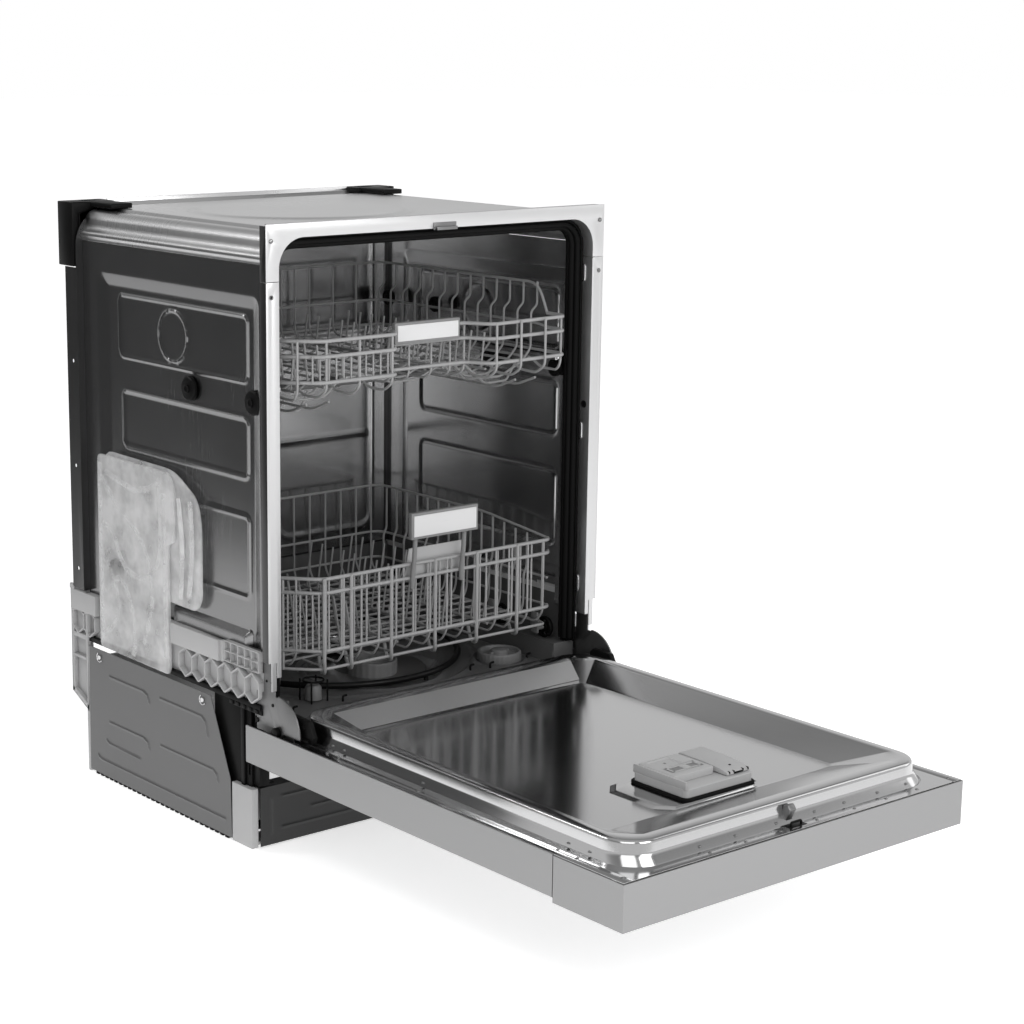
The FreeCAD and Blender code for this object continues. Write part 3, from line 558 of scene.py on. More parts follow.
def build_tub():
    right = side_wall()
    make("tub_side_right_pressed", [right], INSIDE, "cabinet", ["tub_side_right"], sheet=1.0)
    # The left wall's outer face takes the darker copy of the tub steel: partly painted shade.
    make("tub_side_left_pressed", [mirror(right)], OUTSIDE, "cabinet", ["tub_side_left"],
         sheet=1.0)
    make("tub_top_pressed", [top_sheet()], TOP_STEEL, "cabinet", ["tub_top"], sheet=1.0)
    make("tub_back_panel", [back_panel()], INSIDE, "cabinet", sheet=0.8)
    # The back panel takes the darker copy of the tub steel: painted shade.
    soften("tub_back", SHADE_PAINTED_STEEL, 0.3, crease=20)
    bosses = [shape for y in ROLLER_YS for shape in wall_roller_boss(y)]
    make("wall_roller_bosses", pair(bosses), BLACK, "cabinet", edge=0.4)
    make("seal_ribs", seal_lip(), RUBBER, "cabinet")
    loops = [tube(rounded([(277.2, y0, z0) for y0, z0 in ((15, z - 12), (23, z - 12), (23, z + 12),
                                                          (15, z + 12))], 4, loop=True),
                  0.9, 6, True) for z in (768, 535, 303)]
    make("collar_loops", loops, BRIGHT, "cabinet")
    make("collar_plug", [lathe([(0, 2.2), (4.5, 2.0), (5.5, 0), (0, 0)], (277.6, 12, 575), "X", 20)[:2]],
         RUBBER, "cabinet")
    soften("mouth_gasket", RUBBER, 0.8)
    for node in ("flange_top", "flange_left", "flange_right"):
        # The flanges' outer side faces take the darker copy of the tub steel: painted shade.
        soften(node, FLANGE, 0.3, reshape=short_return, sides=SHADE_PAINTED_STEEL)
    soften("rear_top_rail", TOP_STEEL, 0.3, reshape=low_shelf)
    soften("door_strike", ZINC, 0.4)
    for node in ("corner_bracket_left", "corner_bracket_right"):
        soften(node, BLACK, 1.2)
    web = [(288, 773), (288, 850), (228, 850), (228, 859), (250, 859), (266, 853), (279, 838), (286, 820),
           (286, 773)]
    make("corner_bracket_webs", pair([plate(web, 488.6, 497, "Y")]), BLACK, "cabinet",
         edge=0.8)
    screws = []
    for x in (-290.5, 290.5):
        for z in (845, 772):
            screws.append(tube([(x + 2.6 * math.cos(a), -0.3, z + 2.6 * math.sin(a)) for a in np.linspace(0,
                    2 * np.pi, 16, endpoint=False)], 0.5, 6, True))
    make("fixing_hole_rims", screws, ZINC, "cabinet")


# ---------------------------------------------------------------- base

def honeycomb(y0, y1, z0=213.0, z1=255.5, pitch=33.0):
    """A row of upright hexagonal cells: upright ribs between cells, slanting ribs above and below them."""
    shapes = []
    for k in range(int((y1 - y0) / pitch + 0.01)):
        y = y0 + k * pitch
        low, high, middle = z0 + 11, z1 - 11, y + pitch / 2
        runs = [((y, low), (y, high)), ((y, high), (middle, z1)), ((middle, z1), (y + pitch, high)),
                ((y, low), (middle, z0)), ((middle, z0), (y + pitch, low)), ((y + pitch, low),
                        (y + pitch, high))]
        for a, b in runs:
            a, b = np.array(a), np.array(b)
            across = 1.1 * np.array([-(b - a)[1], (b - a)[0]]) / np.linalg.norm(b - a)
            shapes.append(plate([a - across, b - across, b + across, a + across], 284.4, 294.5))
    return shapes


def base_side(left):
    """Right-hand side of the base; the left one leaves a gap for the water tank."""
    shapes = [
        block(288, 293.4, 150, 490, 3, 197),
        block(282, 284.4, 32, 532, 209, 284),
        block(284, 295, 49, 97, 2, 88),
        plate([(484, 95), (532, 118), (532, 256), (484, 256)], 284, 287),
        plate([(484, 95), (532, 118), (532, 126), (484, 103)], 287, 294),
        block(287, 294, 526, 532, 118, 280),
        block(287, 294, 484, 490, 95, 280),
        block(287, 294, 490, 526, 174, 178),
        block(287, 294, 490, 526, 206, 213),
        block(250, 288, 97, 484, 0, 5),
        block(218, 242, 118, 142, 12, 60),
        block(240, 290, 118, 142, 12, 16),
        block(218, 242, 418, 442, 12, 60),
        block(240, 290, 418, 442, 12, 16),
        block(284, 295.8, 458, 530, 249, 280),
        block(291, 295.8, 520, 532, 280, 288),
    ]
    tank_front, tank_rear = (251, 446) if left else (128, 128)
    shapes.append(block(284, 295.8, 128, min(249, tank_front), 255, 285))
    shapes.append(block(284, 292, 119, 128, 255, 285))
    if not left:
        shapes.append(block(284, 295.8, 249, 458, 255, 283))
    for row in range(2):
        for column in range(5):
            y, z = 31 + column * 16.6, 258.5 + row * 14.5
            shapes += [block(284, 294.6, y, y + 1.6, z, z + 14.5), block(284, 294.6, y, y + 16.6, z, z + 1.6)]
    shapes += [block(284, 287.5, 31, 114, 258, 288), block(284, 294.6, 31, 114, 286.5, 288), block(284, 294.6,
            113, 114.6, 258, 288)]
    shapes += honeycomb(32, 32 + 33 * 6.02)
    shapes += honeycomb(463, 530) if left else honeycomb(230, 530)
    return shapes


def side_plate():
    """Coated steel plate with a slanting front edge; its ribs are L-shaped lines and it hangs on two hook screws."""
    v = np.linspace(0, 1, 116)
    z = 4 + 196 * v
    front = np.where(z < 90, 99.5 + (z - 4) / 86 * 2.5, 102 + (z - 90) / 110 * 47.5)
    rear = 483 - 3 * v
    u = np.linspace(0, 1, 210)[:, None]
    y, z = front + (rear - front) * u, np.repeat(z[None], 210, 0)
    lines = [
        [(422, 163.5), (326, 163.5), (316, 160), (312, 150)],
        [(282, 163.5), (172, 163.5), (163, 158), (157, 138)],
        [(425, 92), (328, 92), (317, 88), (313, 78)],
        [(282, 92), (144, 92), (136, 87), (133, 78)],
        [(460, 33), (455, 29), (446, 28), (115, 28)],
        [(434, 62), (425, 58), (340, 57)],
    ]
    height = bead(np.minimum.reduce([along_line(y, z, line) for line in lines]), 2.8, 1.7)
    return grid(np.stack([294.2 + height, y, z], -1)[::-1])


def kick_sheet():
    """Black plinth sheet: flat front with pressed lines, its top edge folded back."""
    x = np.linspace(-281.5, 281.5, 190)
    rise = np.concatenate([np.linspace(3, 88, 46), [90, 94]])
    xx, zz = np.meshgrid(x, rise, indexing="ij")
    yy = 47 + np.where(zz > 88, (zz - 88) * 2.0, 0)
    lines = [[(-263, 70), (-263, 20)], [(-246, 71), (-160, 71)], [(-196, 46), (-40, 46)],
             [(-246, 25), (-20, 25)],
             [(0, 71), (120, 71)], [(40, 46), (200, 46)]]
    yy = yy - bead(np.minimum.reduce([along_line(xx, zz, line) for line in lines]), 3.6, 1.6)
    return grid(np.stack([xx, yy, zz], -1)[::-1])


def hook_screw(y, z):
    """Screw head in a keyhole: a low stepped disc with an open arc of raised steel round it."""
    head = lathe([(0, 1.8), (3.2, 1.6), (3.8, 0.6), (3.8, 0), (0, 0)], (295, y, z), "X", 20)
    slot = tube([(295.4, y + 7 * math.sin(a), z + 7 * math.cos(a)) for a in np.linspace(0.4, 4.2, 14)], 0.7, 6)
    return [head, slot]


def door_spring():
    """Close-wound coil: a helix round an axis along Y, with straight ends that hook the base."""
    turns = np.linspace(0, 2 * np.pi * 52, 52 * 12)
    coil = np.stack([272 + 7.6 * np.cos(turns), 212 + 164 * turns / turns[-1], 60 + 7.6 * np.sin(turns)], -1)
    return [tube(coil, 1.4, 5), tube([(272, 376, 60), (272, 400, 60), (272, 440, 60)], 1.8, 8)]


def build_base():
    make("base_moulding", [block(-294, 294, 484, 490, 0, 178), block(-287, 287, 62, 67, 104, 176),
                           block(-250, 250, 452, 484, 0, 5), block(-280, 280, 62, 97, 0, 5),
                           *base_side(False), *[mirror(s) for s in base_side(True)]],
         BASE, "cabinet", ["base_frame"], edge=0.6)
    plate_sheet = side_plate()
    make("side_plate_right_pressed", [plate_sheet], PLATE, "cabinet", ["side_plate_right"],
         sheet=0.8)
    make("side_plate_left_pressed", [mirror(plate_sheet)], PLATE, "cabinet", ["side_plate_left"],
         sheet=0.8)
    make("kick_plate_pressed", [kick_sheet()], KICK, "cabinet", ["kick_plate"], sheet=0.9)
    make("side_plate_screws", pair(hook_screw(449, 188) + hook_screw(169, 189)), BRIGHT, "cabinet")
    struts = [block(280, 287, 60, 150, 5, 206), block(284, 291.5, 32, 490, 205.5, 212.8), block(287, 291, 72,
            80, 88, 206),
              block(268, 284, 44, 60, 92, 176), block(262, 283, 28, 60, 176, 181), block(270, 283, 60, 118,
                      160, 170),
              block(255, 282, 52, 60, 88, 92), block(281, 290, 30, 100, 198, 208)]
    struts += [block(288, 294, y, y + 8, 0, 3.6) for y in np.arange(110, 470, 13)]
    holes = [block(290, 291.4, 38 + k * 15, 47 + k * 15, 199, 205) for k in range(5)]
    make("front_struts", pair(struts + holes), BLACK, "cabinet", edge=0.8)
    make("door_spring_coils", pair(door_spring()), SPRING, "cabinet", ["door_springs"])
    for node in ("hinge_plate_left", "hinge_plate_right"):
        soften(node, ZINC, 0.5)
    soften("hinge_pins", BLACK, 0.8)
    marks = [lathe([(0, 0.9), (2.2, 0.9), (2.6, 0), (0, 0)], (288.5, 6, 219), "X", 16),
             lathe([(0, 1.4), (3.4, 1.2), (3.8, 0), (0, 0)], (288.5, 43, 190), "X", 8)]
    marks += [lathe([(0, 0.8), (1.6, 0.8), (2.0, 0), (0, 0)], (288.5, y, z), "X", 12) for y, z in ((20, 250),
            (12, 280), (20, 330), (8, 250))]
    make("hinge_plate_rivets", pair(marks), BLACK, "cabinet")
    for node in ("foot_front_left", "foot_front_right", "rear_feet"):
        soften(node, BLACK, 0.8)


# ---------------------------------------------------------------- basin and water path

def basin_height(x, y):
    """Floor, side shelves, walls and sump recess of the basin as one height over X and Y."""
    ax = np.abs(x)
    z = BASIN_FLOOR + (SHELF - BASIN_FLOOR) * smooth((ax - 240) / 5)
    z = z + (BASIN_RIM - SHELF) * smooth((ax - 278.5) / 4)
    z = np.where(y > 479, np.maximum(z, BASIN_FLOOR + (BASIN_RIM - BASIN_FLOOR) * smooth((y - 480) / 5)), z)
    radius = np.hypot(x, y - 160)
    z = z + bead(np.abs(radius - 104), 5, 3.5) - 5 * smooth((100 - radius) / 8)
    ring = np.hypot(x, y - 268)
    for size, rise in ((168, 3.0), (222, 3.0)):
        z = z + bead(np.abs(ring - size), 6, rise) * (ax < 238)
    salt = np.hypot(x - 190, y - 92)
    z = z + bead(np.abs(salt - 40), 5, 3.5) * (ax < 240)
    spokes = np.abs(np.sin(np.arctan2(y - 268, x) * 6))
    z = z + 2.0 * smooth(1 - spokes * 9) * smooth((ring - 120) / 20) * smooth((160 - ring) / 20)
    return z


def build_basin():
    xs = np.concatenate([np.linspace(-283.6, -278, 6), np.linspace(-277, -240, 14), np.linspace(-237, 237, 150),
                         np.linspace(240, 277, 14), np.linspace(278, 283.6, 6)])
    ys = np.concatenate([np.linspace(31, 478, 140), np.linspace(480, 487, 6)])
    x, y = np.meshgrid(xs, ys, indexing="ij")
    floor = grid(np.stack([x, y, basin_height(x, y)], -1)[:, ::-1])
    sill = [block(-246, 246, 29.5, 33, 158, 184), *pair([block(244, 283.6, 29.5, 33, 158, 212)])]
    make("basin_floor", [floor], BASIN, "cabinet", ["tub_floor"], sheet=2.0)
    make("basin_sill", sill, BASIN, "cabinet", edge=1.5)
    spindle = lathe([(0, 216), (6, 216), (8, 214), (8, 190), (20, 186), (22, 181), (0, 181)], (0, ARM_Y, 0))
    guard = [block(-158 + a, -158 + a + 2, 76 + b, 78 + b, 182, 214) for a in (-15, 13) for b in (0, 28)]
    guard += [tube([(-158 + 15 * math.cos(a), 92 + 15 * math.sin(a), 212) for a in np.linspace(0, 2 * np.pi,
            24, endpoint=False)], 1.5, 6, True)]
    hooks = [wire([(x, y, 182), (x, y, 190), (x + 7, y, 190)], 1.8, 3, 6) for x, y in ((-216, 60), (-128, 62),
            (118, 74), (150, 66), (226, 70))]
    make("basin_fittings", [spindle, *guard, *hooks], BLACK, "cabinet", edge=0.3)
    turn = np.linspace(0, 2 * np.pi, 96, endpoint=False)
    ring = tube(np.stack([196 * np.cos(turn), 268 + 196 * np.sin(turn), np.full(96, 191.5)], -1), 4.8, 12, True)
    clips = [lathe([(0, 189), (3, 189), (4, 182), (0, 182)], (196 * math.cos(a), 268 + 196 * math.sin(a), 0),
                   sides=12)
             for a in np.radians((40, 160, 280))]
    make("heating_ring", [ring, *clips], SHEATH, "cabinet", ["heating_element"])
    make("filter_disc", [lathe([(39, 180), (96, 182.6), (98, 181.5), (98, 180.4), (39, 178.6), (39, 180)],
                               (0, 190, 0), sides=72, ripple=0.004, ripples=36)],
         MESH, "cabinet", ["filter_plate"])
    cup = [lathe([(0, 132), (33, 132), (33.6, 201), (35, 202.5), (37, 202), (37.4, 196), (36.6, 128),
                  (0, 128)], (0, 160, 0), sides=96, ripple=0.012, ripples=24),
           block(-33, 33, 158, 162, 186, 197), block(-2, 2, 127, 193, 186, 192)]
    make("filter_cup_ribbed", cup, CAP, "filter_cup", ["filter_cup"], edge=0.8)
    cap = [lathe([(0, 199.5), (11, 199.5), (13, 197.5), (13, 191.5), (25, 190.5), (27, 192), (28, 197),
                  (30.5, 198), (33, 196), (33.4, 183), (0, 183)],
                 (190, 92, 0), sides=96, ripple=0.012, ripples=30),
           lathe([(0, 190), (19.8, 190), (19.8, 172), (0, 172)], (190, 92, 0)), block(172, 208, 90, 94, 190,
                   196.5)]
    make("salt_cap_knob", cap, CAP, "salt_cap", ["salt_cap"], edge=0.8)
    make("float_dome", [lathe([(0, 206), (9, 205), (12, 201), (12.2, 184), (8, 184), (4.9, 184), (4.9, 152),
                               (0, 152)], (-158, 92, 0))],
         CAP, "float", ["float"])
    for node, material in (("sump", BASIN), ("wash_pump", BLACK), ("drain_pump", BLACK), ("inlet_valve", BLACK),
                           ("water_softener", DISPENSER)):
        soften(node, material, 0.8)
    duct = np.array([(-16, 474), (-14.5, 472.6), (14.5, 472.6), (16, 474), (16, 484.2), (-16, 484.2)])
    path = [np.insert(duct, 2, z, axis=1) for z in (200, 500, 846)]
    points, faces = grid(np.stack(path), False, True)
    duct_shape = (points, faces + [np.arange(6)[None], np.arange(12, 18)[None]])
    clamps = [block(-20, 20, 471.6, 476, z, z + 9) for z in (260, 420, 580, 740)]
    make("feed_duct", [duct_shape, *clamps], RUBBER, "cabinet", ["feed_pipe"], edge=1.0)


def arm_shape(z, half, width, hub_radius, hub_depth, spindle_radius):
    """Spray arm: two tapering wings whose section is a flattened oval, a hub and raised nozzles."""
    s = np.linspace(-1, 1, 61)
    reach = half - 4
    chord = width / 2 * np.sqrt(np.clip(1 - s ** 8, 0.0009, 1)) * (1 - 0.18 * np.abs(s))
    turn = np.linspace(0, 2 * np.pi, 20, endpoint=False)
    thick = 5.6 * np.sqrt(np.clip(1 - s ** 10, 0.0009, 1))
    x = np.repeat((s * reach)[:, None], 20, 1)
    y = ARM_Y + chord[:, None] * np.cos(turn)
    zz = z + 6.5 + thick[:, None] * np.sign(np.sin(turn)) * np.abs(np.sin(turn)) ** 0.7
    points, faces = grid(np.stack([x, y, zz], -1), False, True)
    wings = points, faces + [np.arange(20)[None], np.arange(60 * 20, 61 * 20)[None]]
    hub = lathe([(spindle_radius, z - hub_depth), (hub_radius, z - hub_depth), (hub_radius, z + 4),
                 (20, z + 12), (14, z + 14.5),
                 (0, z + 14.5)], (0, ARM_Y, 0))
    nozzles = [lathe([(0, z + 13.6), (2.6, z + 13.4), (4.2, z + 11), (0, z + 11)], (x, ARM_Y + dy, 0), sides=12)
               for x, dy in ((-175, 6), (-132, -8), (-84, 7), (-45, -6), (45, 6), (84, -7), (132, 8),
                             (175, -6))]
    return [wings, hub, *nozzles]


def build_arms():
    make("lower_arm_pressed", arm_shape(206, 206, 54, 17, 14, 8.2), ARM_STEEL, "lower_spray_arm",
         ["lower_spray_arm"])
    make("upper_arm_moulded", arm_shape(596, 198, 44, 15, 0, 7.3), CAP, "upper_spray_arm", ["upper_spray_arm"])


# ---------------------------------------------------------------- water tank

def build_tank():
    """Flat tank on the left wall: outline plate, a raised edge, moulded channels and a float valve behind it."""
    low = rounded([(0, y, z) for y, z in ((254, 205), (254, 398), (238, 402), (236, 480), (250, 502),
                                          (443, 502), (445, 207))], 10, loop=True)[:, 1:]
    high = rounded([(0, y, z) for y, z in ((190, 311), (176, 330), (176, 440), (186, 474), (246, 506),
                                           (432, 508), (432, 320), (238, 311))],
                   22, loop=True)[:, 1:]
    body = [plate(low, -295.6, -290), plate(high, -289.6, -285.8)]
    make("water_tank", body, TANK, "cabinet", ["air_break_tank"], edge=2.2)
    routes = [
        [(430, 470), (400, 440), (330, 400), (300, 360), (295, 300), (320, 240)],
        [(268, 490), (300, 470), (345, 462), (420, 478)],
        [(420, 300), (385, 330), (350, 290), (345, 230), (352, 214)],
        [(275, 480), (272, 400), (285, 350), (330, 330), (380, 345), (400, 390), (425, 400)],
        [(432, 230), (400, 250), (385, 285), (410, 330), (432, 350)],
        [(262, 470), (262, 230)], [(436, 490), (436, 220)],
        [(195, 470), (190, 400), (200, 330)], [(225, 470), (215, 400), (222, 325)],
    ]
    channels = [tube(rounded([(-294.4, y, z) for y, z in route], 26, 6), 5.5, 8,
                     flatten=0.45) for route in routes]
    make("water_tank_channels", channels, CHANNEL, "cabinet")
    valve = [lathe([(0, -3.2), (9, -3.2), (14, -2.0), (15, 0), (0, 0)], (-290, 400, 330), "X", 30),
             lathe([(15.5, -3.6), (19, -3.6), (19, 0), (15.5, 0), (15.5, -3.6)], (-290, 400, 330), "X", 30)]
    make("water_tank_valve", valve, BLACK, "cabinet")


# ---------------------------------------------------------------- door

def liner_surface():
    """The pressed liner as loops from the ledge, over the stepped rim and down into the well, to the dispenser's hole."""
    def level(half, rear, front, radius, z, chord=0.0):
        return rounded_loop(-half, half, front, rear, radius, 14, chord), z
    return dish([
        level(281, 7.0, -683.8, 3, LEDGE),
        level(269.2, -4.8, -666.4, 47, LEDGE),
        level(268.6, -5.4, -665.6, 46.5, LEDGE - 1.4),
        level(268.0, -6.0, -664.8, 46, LEDGE - 1.4),
        level(267.2, -6.8, -663.8, 45.5, LEDGE + 0.4),
        level(264.6, -9.0, -657.6, 44, LEDGE + 8.0),
        level(263.6, -10.0, -656.2, 43.6, LEDGE + 10.2),
        level(263.0, -10.8, -655.4, 43.2, LEDGE + 12.6),
        level(262.4, -11.6, -654.6, 42.8, RIM_TOP - 4.5),
        level(261.6, -12.2, -653.8, 42.2, RIM_TOP - 2.2),
        level(260.0, -13.4, -652.2, 41, RIM_TOP - 0.6),
        level(257.6, -15.4, -649.6, 39.4, RIM_TOP),
        level(248.4, -28.0, -637, 31, RIM_TOP),
        level(246.6, -30.0, -634.4, 30, RIM_TOP - 0.5, 0.6),
        level(244.6, -32.6, -629.8, 28, RIM_TOP - 1.7, 1.0),
        level(242.8, -34.6, -626.4, 27, RIM_TOP - 2.7, 1.0),
        level(205.8, -75.9, -562.7, 9, WELL_FLOOR + 2.0, 1.0),
        level(203.4, -78.6, -558.5, 8, WELL_FLOOR + 0.7, 1.0),
        level(202.0, -80.2, -556.0, 7, WELL_FLOOR, 1.0),
        level(200.5, -82.0, -554.6, 7, WELL_FLOOR, 1.0),
        (rounded_loop(-107.5, 78.5, -554.3, -437.5, 21, 14, 1.0), WELL_FLOOR),
        (rounded_loop(-106, 77, -554.1, -439, 20.4, 14, 1.0), WELL_FLOOR),
        (rounded_loop(-105, 76, -554, -440, 20, 14, 1.0), WELL_FLOOR),
        (rounded_loop(-104, 75, -553.6, -441, 19.6, 14, 1.0), WELL_FLOOR + 0.4),
        (rounded_loop(-99.4, 71, -551.8, -445.4, 18, 14, 1.0), WELL_FLOOR + 3.0),
        (rounded_loop(-98, 70, -551.2, -446.4, 17.6, 14, 1.0), WELL_FLOOR + 3.2),
        (rounded_loop(-66, 66, -550.6, -449.4, 6, 14), WELL_FLOOR + 3.2),
        (rounded_loop(-61.4, 61.4, -548.6, -451.4, 4, 14), WELL_FLOOR + 3.0),
    ])


def screw_head(x, y, z, radius=2.3):
    """Low domed disc with a dimple in its middle."""
    return lathe([(0, 0.3), (radius * 0.35, 0.8), (radius * 0.8, 0.7), (radius, 0.1), (radius, -1), (0, -1)],
                 (x, y, z), sides=14)


def bent_skin(half, y0, y1, low, high, radius):
    """Outer skin of the door: a profile of upright side, round bend, flat face, bend and side, carried along Y."""
    turn = np.linspace(0, np.pi / 2, 6)
    left = np.stack([-half + radius - radius * np.cos(turn), low + radius - radius * np.sin(turn)], -1)
    profile = np.vstack([[(-half, high)], left, left[::-1] * (-1, 1), [(half, high)]])
    y = np.array([y0, y0 + 1, y1 - 1, y1])
    points = np.stack([np.insert(profile, 1, value, axis=1) for value in y])
    return grid(points[::-1])


def hinge_cover():
    """Black moulding over the hinge between the door's edge and the rim, with a sloping front."""
    cover = plate([(-21, 181.4), (-71, 181.4), (-74, 190), (-62, 211), (-26, 212), (-20, 206)], 271.5, 279.5)
    tab = block(279.5, 284.5, -66, -40, 181.4, 186)
    return [cover, tab, lathe([(0, 1.6), (3, 1.4), (3.6, 0), (0, 0)], (279.5, -52, 200), "X", 14)]


def build_door():
    make("liner_pressed", [liner_surface()], LINER, "door", ["inner_liner"], sheet=0.8,
         crease=32)
    # A sheet just over the liner's hinge-end slope carries the lighter copy of the liner steel: painted light.
    slope = np.array([[(-238, -36.0, 205.0), (238, -36.0, 205.0)], [(-201.5, -74.8, 187.9), (201.5, -74.8,
            187.9)]]) + (0, -0.1, 0.25)
    make("liner_hinge_slope", [grid(slope)], LIT_SLOPE_STEEL, "door", sheet=0.1)
    flats = pair([block(280.4, 296.6, -683.8, -66, LEDGE - 1.0, LEDGE - 0.05)])
    make("liner_side_flats", flats, LINER, "door", edge=0.2)
    make("door_skin", [bent_skin(298, -567.6, 57.4, 127, 180.2, 2.4)], DOOR, "door", ["outer_panel"],
         sheet=1.0)
    skin_end = [block(-297, 297, 56.4, 57.4, 128, 141)]
    lips = pair([block(295.6, 297.9, -567.6, 56, 179.6, 181.2)])
    make("door_skin_folds", skin_end + lips, DOOR, "door", edge=0.4)
    soften("control_panel", DOOR, 0.5, crease=20)
    make("panel_display", [block(-40, 40, -646, -618, 121.1, 121.6)], BLACK, "door",
         edge=0.2)
    soften("power_button", BLACK, 0.6)
    soften("start_button", BLACK, 0.6)
    soften("hinge_arms", ZINC, 0.5)
    outer = [(x, -675) for x in (-150, -90, -30, 34, 102, 161, 220)] + [(286, -671), (-286, -671)]
    outer += [(side * 283, y) for side in (-1, 1) for y in (-594, -560, -300, -135, -110)]
    inner = [(x, -660.6) for x in (-153, -93, -23, 45, 99, 161, 216)]
    inner += [(side * 265.9, y) for side in (-1, 1) for y in (-596, -560, -290, -125, -100)]
    heads = [screw_head(x, y, LEDGE) for x, y in outer] + [screw_head(x, y, LEDGE + 4.6) for x, y in inner]
    make("liner_screws", heads, ZINC, "door")
    make("hinge_covers", pair(hinge_cover()), BLACK, "door", edge=1.0)
    catch = [block(-15, 15, -677, -664, LEDGE - 0.4, LEDGE + 0.3), wire([(-9, -672, 181), (-9, -672, 186),
            (9, -672, 186), (9, -672, 181)], 1.6, 3, 8)]
    make("latch_catch", catch, BLACK, "door", edge=0.3)
    lever = [plate([(-662, 168), (-656, 168), (-652, 184), (-656, 203), (-662, 205), (-667, 199), (-661, 186)],
                   -6, 6)]
    make("latch_lever", lever, ZINC, "door_latch", ["door_latch"], edge=1.2)
    build_dispenser()


def plan(x0, x1, y0, y1, z, radius=3.0):
    """One level of a moulded case: a rectangle with round corners, and its height."""
    return rounded_loop(x0, x1, y0, y1, radius), z


def build_dispenser():
    """Dispenser: a rounded case, open at the front, under a sliding lid with a grip slot and a sloping filler flap."""
    foot, deck, top = WELL_FLOOR + 3.2, 203.0, 213.0
    case = dish([plan(-60, 60, -547, -453, foot, 7), plan(-60, 60, -547, -453, deck - 1.2, 7),
                 plan(-59.2, 59.2, -546.2, -453.8, deck - 0.3, 6.4), plan(-58, 58, -545, -455, deck, 5.4),
                 plan(-46, 6, -513, -464, deck, 4), plan(-45.4, 5.4, -512.4, -464.6, deck - 1, 4),
                 plan(-44, 4, -511, -466, 166, 4), plan(-22, -18, -490, -486, 166, 1)])
    make("dispenser_case", [case], DISPENSER, "door", ["dispenser_body"], sheet=1.2)
    fence = [block(-60, -56.4, -546, -454, 202, 212.4), block(-59, 16, -456.6, -453, 202, 203.2)]
    under = [block(-58, 58, -545, -455, 150, 165), block(-65, 65, -552, -448, 181.6, 183.8)]
    ring = lathe([(11.6, deck + 0.1), (13.6, deck + 0.2), (13.6, deck - 2), (11.6, deck - 2),
                  (11.6, deck + 0.1)], (38, -490, 0))
    make("dispenser_fence", fence + under + [ring], DISPENSER, "door", edge=1.4)
    seal = np.insert(rounded_loop(-61.6, 61.6, -548.6, -451.4, 8), 2, foot + 1.6, axis=1)
    make("dispenser_seal", [tube(seal, 2.6, 10, True)], RUBBER, "door")
    lid = dish([plan(-56, 14, -523, -457, 203.4, 4), plan(-56, 14, -523, -457, top - 1.6, 4),
                plan(-55.2, 13.2, -522.2, -457.8, top - 0.4, 3.6), plan(-54, 12, -521, -459, top, 3),
                plan(-46, -8, -488, -463, top, 2), plan(-45, -9, -487, -464, top - 1.2, 2), plan(-28, -24,
                        -477, -473, top - 1.2, 1)])
    make("dispenser_lid", [lid], DISPENSER, "detergent_lid", ["detergent_lid"], sheet=1.0)
    grip = [block(-46, 5, -512, -508.6, top - 0.2, top + 1.2), block(-46, 5, -497.4, -494, top - 0.2,
                                                                     top + 1.2),
            block(-46, -42.6, -512, -494, top - 0.2, top + 1.2), block(1.6, 5, -512, -494, top - 0.2,
                                                                       top + 1.2),
            block(-24, -12, -509, -497, top - 0.2, top + 0.9)]
    make("dispenser_lid_grip", grip, DISPENSER, "detergent_lid", edge=0.6)
    # The grip slot's floor is a thin darker plate level with the lid top: painted shade standing in for the slot's
    # recess.
    well = block(-42.6, 1.6, -508.6, -497.4, top - 0.1, top + 0.15)
    make("dispenser_lid_slot_shade", [well], FRAME_GREY, "detergent_lid", edge=0.05)
    slope = [(-455, 203.4), (-455, 211.2), (-457, 213), (-500, 212.6), (-528, 210.4), (-539, 208),
             (-541, 206.4), (-541, 203.4)]
    make("filler_flap", [plate(slope, 18, 59)], DISPENSER, "rinse_lid", ["rinse_lid"],
         edge=1.5)
    # The flap's slots are black bars on its front face: painted shade standing in for the openings.
    slots = [block(x, x + 1.4, -541.5, -530, 205, 208.4) for x in (22, 30, 46, 55)] + [block(31, 46, -541.6,
            -540.6, 204.4, 206.6)]
    slots.append(lathe([(0, 0.5), (1.6, 0.4), (1.8, -0.6), (0, -0.6)], (38, -526, 210.8), sides=12))
    make("filler_flap_slots", slots, BLACK, "rinse_lid", edge=0.2)


# ---------------------------------------------------------------- racks

def lower_rails():
    """Lower basket's long wires: two close rails and a low one round the front, higher ones round the sides and back."""
    shapes = []
    for z, radius in ((371, RAIL_R), (351, RAIL_R), (268, RAIL_R)):
        front = [(-246, 112, z), (-217, 82, z), (-179, 40, z), (179, 40, z), (238, 40, z), (246, 50, z)]
        shapes.append(wire(front, radius, 14, 10))
    for lift, z in ((16, 371), (0, 310), (0, 268)):
        back = [(-246, 112, z), (-246, 200, z + lift), (-246, 460, z + lift), (246, 460, z + lift),
                (246, 200, z + lift), (246, 50, z)]
        shapes.append(wire(back, WIRE_R, 26, 8))
    under = [(-240, 120, 241), (-217, 82, 241), (-179, 44, 241), (236, 44, 241), (240, 56, 241),
             (240, 452, 241), (-240, 452, 241)]
    shapes.append(wire(under, 2.2, 14, 8, loop=True))
    return shapes


